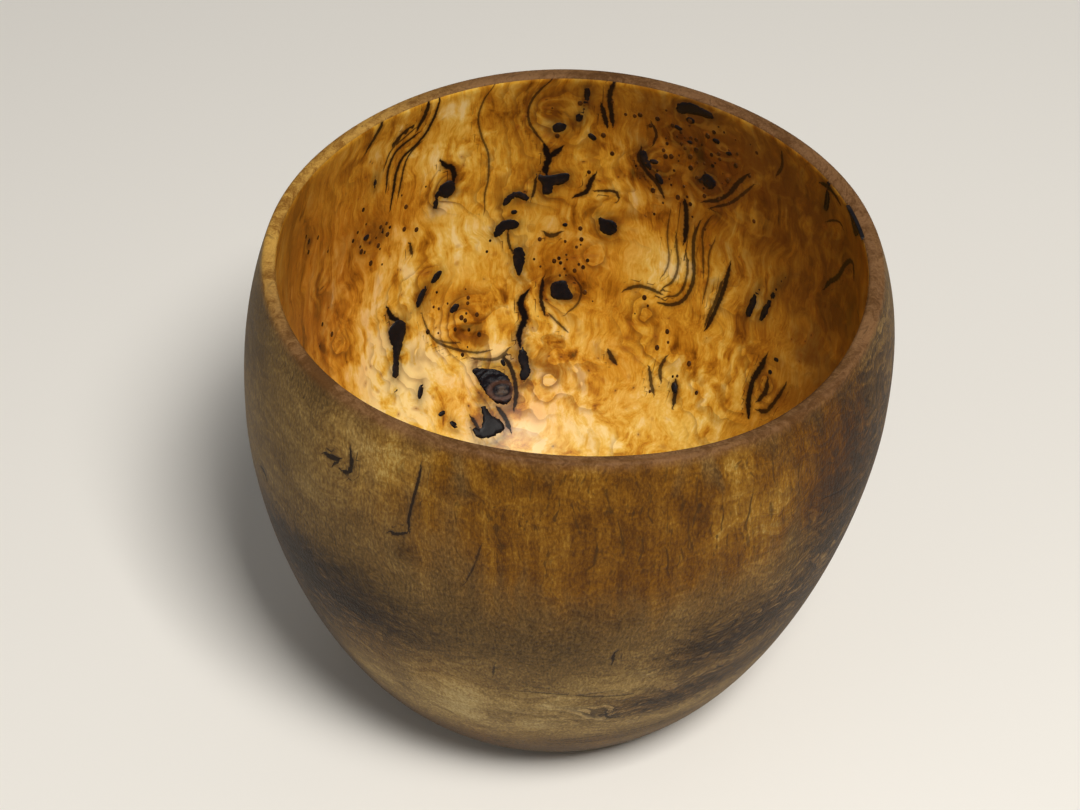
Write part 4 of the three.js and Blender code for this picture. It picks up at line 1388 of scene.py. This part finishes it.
wires.fill(shader, {
    "Base Color": colour,
    "Roughness": 0.5 + (crumb - 0.5) * 0.4,
    "Normal": bumped(wires, rings + crumb, 0.5, 0.00015),
    **SEALED,
})
print("knot:", len(knot_finish.node_tree.nodes), "nodes")

# %% [markdown]
# Pin knots
#
# Round the larger eyes the bowl is sprinkled with pin knots, most of them well under a
# millimetre across. They repeat by the hundred, so Geometry Nodes scatter them: points spread on
# a copy of the bowl's face where the density attribute allows, and each carries a ball that is
# squashed nearly flat.

# %% Where pin knots grow
PIN_PATCHES = [
    (88, 43, 6, 5, 1.0), (114, 34, 6, 5, 0.7), (63, 69, 9, 9, 1.0), (135, 57, 4, 4, 0.9),
    (148, 44, 5, 6, 0.4), (155, 64, 6, 6, 0.4), (126, 58, 5, 5, 0.35), (92, 74, 3, 3, 0.4),
    (72, 37, 4, 5, 0.25), (104, 52, 4, 4, 0.4), (60, 26, 5, 4, 0.3), (240, 60, 8, 8, 0.5),
    (285, 45, 8, 8, 0.6), (320, 62, 7, 7, 0.5), (205, 55, 7, 7, 0.5), (260, 25, 6, 5, 0.4),
]
PIN_SIZES = {"Pins per square metre": 420000.0, "Pin radius": 0.00032, "Pin height": 0.00006}
PIN_GAP = 0.0008
BARE_RIM = 2


def pin_bed():
    """A copy of the bowl's face with a density for each vertex."""
    bed = bmesh.new()
    bed.from_mesh(cup.data)
    bed.verts.ensure_lookup_table()
    bare = ~in_bowl | (height > RIM_HEIGHT - BARE_RIM)
    outside = [v for v in bed.verts if bare[v.index]]
    bmesh.ops.delete(bed, geom=outside, context="VERTS")
    mesh = bpy.data.meshes.new("pin_bed")
    bed.to_mesh(mesh)
    bed.free()
    return mesh


crowd = np.clip(painted(PIN_PATCHES, in_bowl), 0, 1) ** 1.5
crowd[stain > 0.75] = 0
stored("crowd", crowd)
print("vertices where pins may grow:", int((crowd > 0).sum()))

# %% Scattering the pin knots
PIN_SEED, PIN_SIZE_SEED = 7, 3
PIN_SEGMENTS, PIN_RINGS = 8, 5
PIN_STRETCH = 1.3
PIN_CORNERS = PIN_SEGMENTS * (PIN_RINGS - 1) + 2
pin_finish = bpy.data.materials.new("pin_knot")


def pin_tree():
    tree, wires, bed, size = group_with_inputs("pin_knots", PIN_SIZES)
    inputs = {"Mesh": bed, "Distance Min": PIN_GAP, "Seed": PIN_SEED}
    inputs["Density Max"] = size["Pins per square metre"]
    inputs["Density Factor"] = named(wires, "crowd")
    method = {"distribute_method": "POISSON"}
    spread = wires.add("GeometryNodeDistributePointsOnFaces", method, inputs)
    inputs = {"Segments": PIN_SEGMENTS, "Rings": PIN_RINGS, "Radius": size["Pin radius"]}
    ball = wires.add("GeometryNodeMeshUVSphere", {}, inputs)
    flat = wires.join(1.0, PIN_STRETCH, size["Pin height"] / size["Pin radius"])
    ball = wires.add("GeometryNodeTransform", {}, {"Geometry": ball, "Scale": flat})
    inputs = {2: 0.45, 3: 1.5, "Seed": PIN_SIZE_SEED}
    varied = wires.add("FunctionNodeRandomValue", {"data_type": "FLOAT"}, inputs, 1)
    inputs = {"Points": spread, "Instance": ball, "Scale": varied}
    inputs["Rotation"] = wires.part(spread, "Rotation")
    pins = wires.add("GeometryNodeInstanceOnPoints", {}, inputs)
    real = wires.add("GeometryNodeRealizeInstances", {}, {"Geometry": pins})
    smooth = wires.add("GeometryNodeSetShadeSmooth", {}, {"Geometry": real})
    finish_group(wires, coated(wires, smooth, pin_finish))
    return tree


pins = made_plain(pin_tree(), PIN_SIZES, "pin_knots", pin_bed())
print("pin knots:", len(pins.data.vertices) // PIN_CORNERS)

# %% The pin knots' finish
wires, shader = surface(pin_finish)
place = wires.object_place()
colour = wires.ramp(
    wires.noise(place, 500.0, 2.0),
    (0.35, (0.012, 0.005, 0.002)),
    (0.65, (0.09, 0.032, 0.006)),
)
wires.fill(shader, {
    "Base Color": colour,
    "Roughness": 0.5 + (wires.noise(place, 900.0, 2.0) - 0.5) * 0.2,
    "Specular IOR Level": 0.12,
    "Coat Weight": 0.06,
})
print("pin finish:", len(pin_finish.node_tree.nodes), "nodes")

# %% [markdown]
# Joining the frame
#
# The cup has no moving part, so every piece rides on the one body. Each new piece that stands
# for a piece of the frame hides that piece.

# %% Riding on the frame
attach(cup, "root")
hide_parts("cup_body")
for name, piece in island_pieces.items():
    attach(piece, "root")
    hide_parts(name)
    "dead_knot" if name == "knot_ringed" else "dark_bark"
for piece in (spots, pins):
    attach(piece, "root")
print("pieces riding:", 3 + len(island_pieces))

# %% [markdown]
# A plain studio
#
# The cup stands on a pale floor. One soft lamp, high in front and a little to the right, shines
# down into the bowl and makes the oil glow, and its shadow falls behind the cup on the left. A
# wide, weak lamp from the left keeps that side readable, and another one stands behind.

# %% Floor
FLOOR_REACH = 3.0

corners = [(-1, -1), (1, -1), (1, 1), (-1, 1)]
floor_mesh = bpy.data.meshes.new("floor")
floor_mesh.from_pydata([(x * FLOOR_REACH, y * FLOOR_REACH, 0) for x, y in corners], [], [range(4)])
floor = linked("floor", floor_mesh)
paper = bpy.data.materials.new("pale_paper")
wires, shader = surface(paper)
wires.fill(shader, {"Base Color": (0.87, 0.855, 0.82, 1), "Roughness": 0.85})
floor_mesh.materials.append(paper)
print("floor:", 2 * FLOOR_REACH, "m wide")

# %% Lamps
CUP_MIDDLE = Vector((0, 0, 0.045))
WARM_WHITE = (1.0, 0.97, 0.93)


def lamp(name, place, power, size, colour):
    """A square soft lamp that faces the middle of the cup."""
    data = bpy.data.lights.new(name, "AREA")
    data.energy = power
    data.size = size
    data.color = colour
    made = linked(name, data)
    made.location = place
    aim = CUP_MIDDLE - Vector(place)
    made.rotation_euler = aim.to_track_quat("-Z", "Y").to_euler()


lamp("key", (0.19, -0.41, 0.78), 7.6, 0.24, (1.0, 0.96, 0.9))
lamp("fill", (-0.9, -0.5, 0.6), 1.0, 0.8, WARM_WHITE)
lamp("back", (0.35, 0.95, 0.5), 0.9, 0.8, WARM_WHITE)
world = bpy.data.worlds.new("soft_room")
world.use_nodes = True
background = world.node_tree.nodes["Background"].inputs
background["Color"].default_value = (1.0, 0.98, 0.94, 1)
background["Strength"].default_value = 0.12
scene.world = world
scene.view_settings.view_transform = "Standard"
print("lamps:", len(bpy.data.lights))

# %% [markdown]
# The camera
#
# The camera looks down into the bowl from in front, as a person at a table does. Its place is
# measured sideways from the middle of the rim and upwards from the floor, so that it follows the
# rim when the numbers of the warp change.

# %% Camera
CAMERA_FROM_RIM = (-5.05, -260.3, 289.0)
CAMERA_PITCH = 42.5

camera_data = bpy.data.cameras.new("camera")
camera_data.lens = 75
camera_data.sensor_width = 36
camera = linked("camera", camera_data)
place = np.array(CAMERA_FROM_RIM) + [CENTRE[0], CENTRE[1], 0]
camera.location = place * MM
camera.rotation_euler = (math.radians(90 - CAMERA_PITCH), 0, 0)
scene.camera = camera
print("camera:", round(float(np.linalg.norm(place)) / 10), "cm from the origin")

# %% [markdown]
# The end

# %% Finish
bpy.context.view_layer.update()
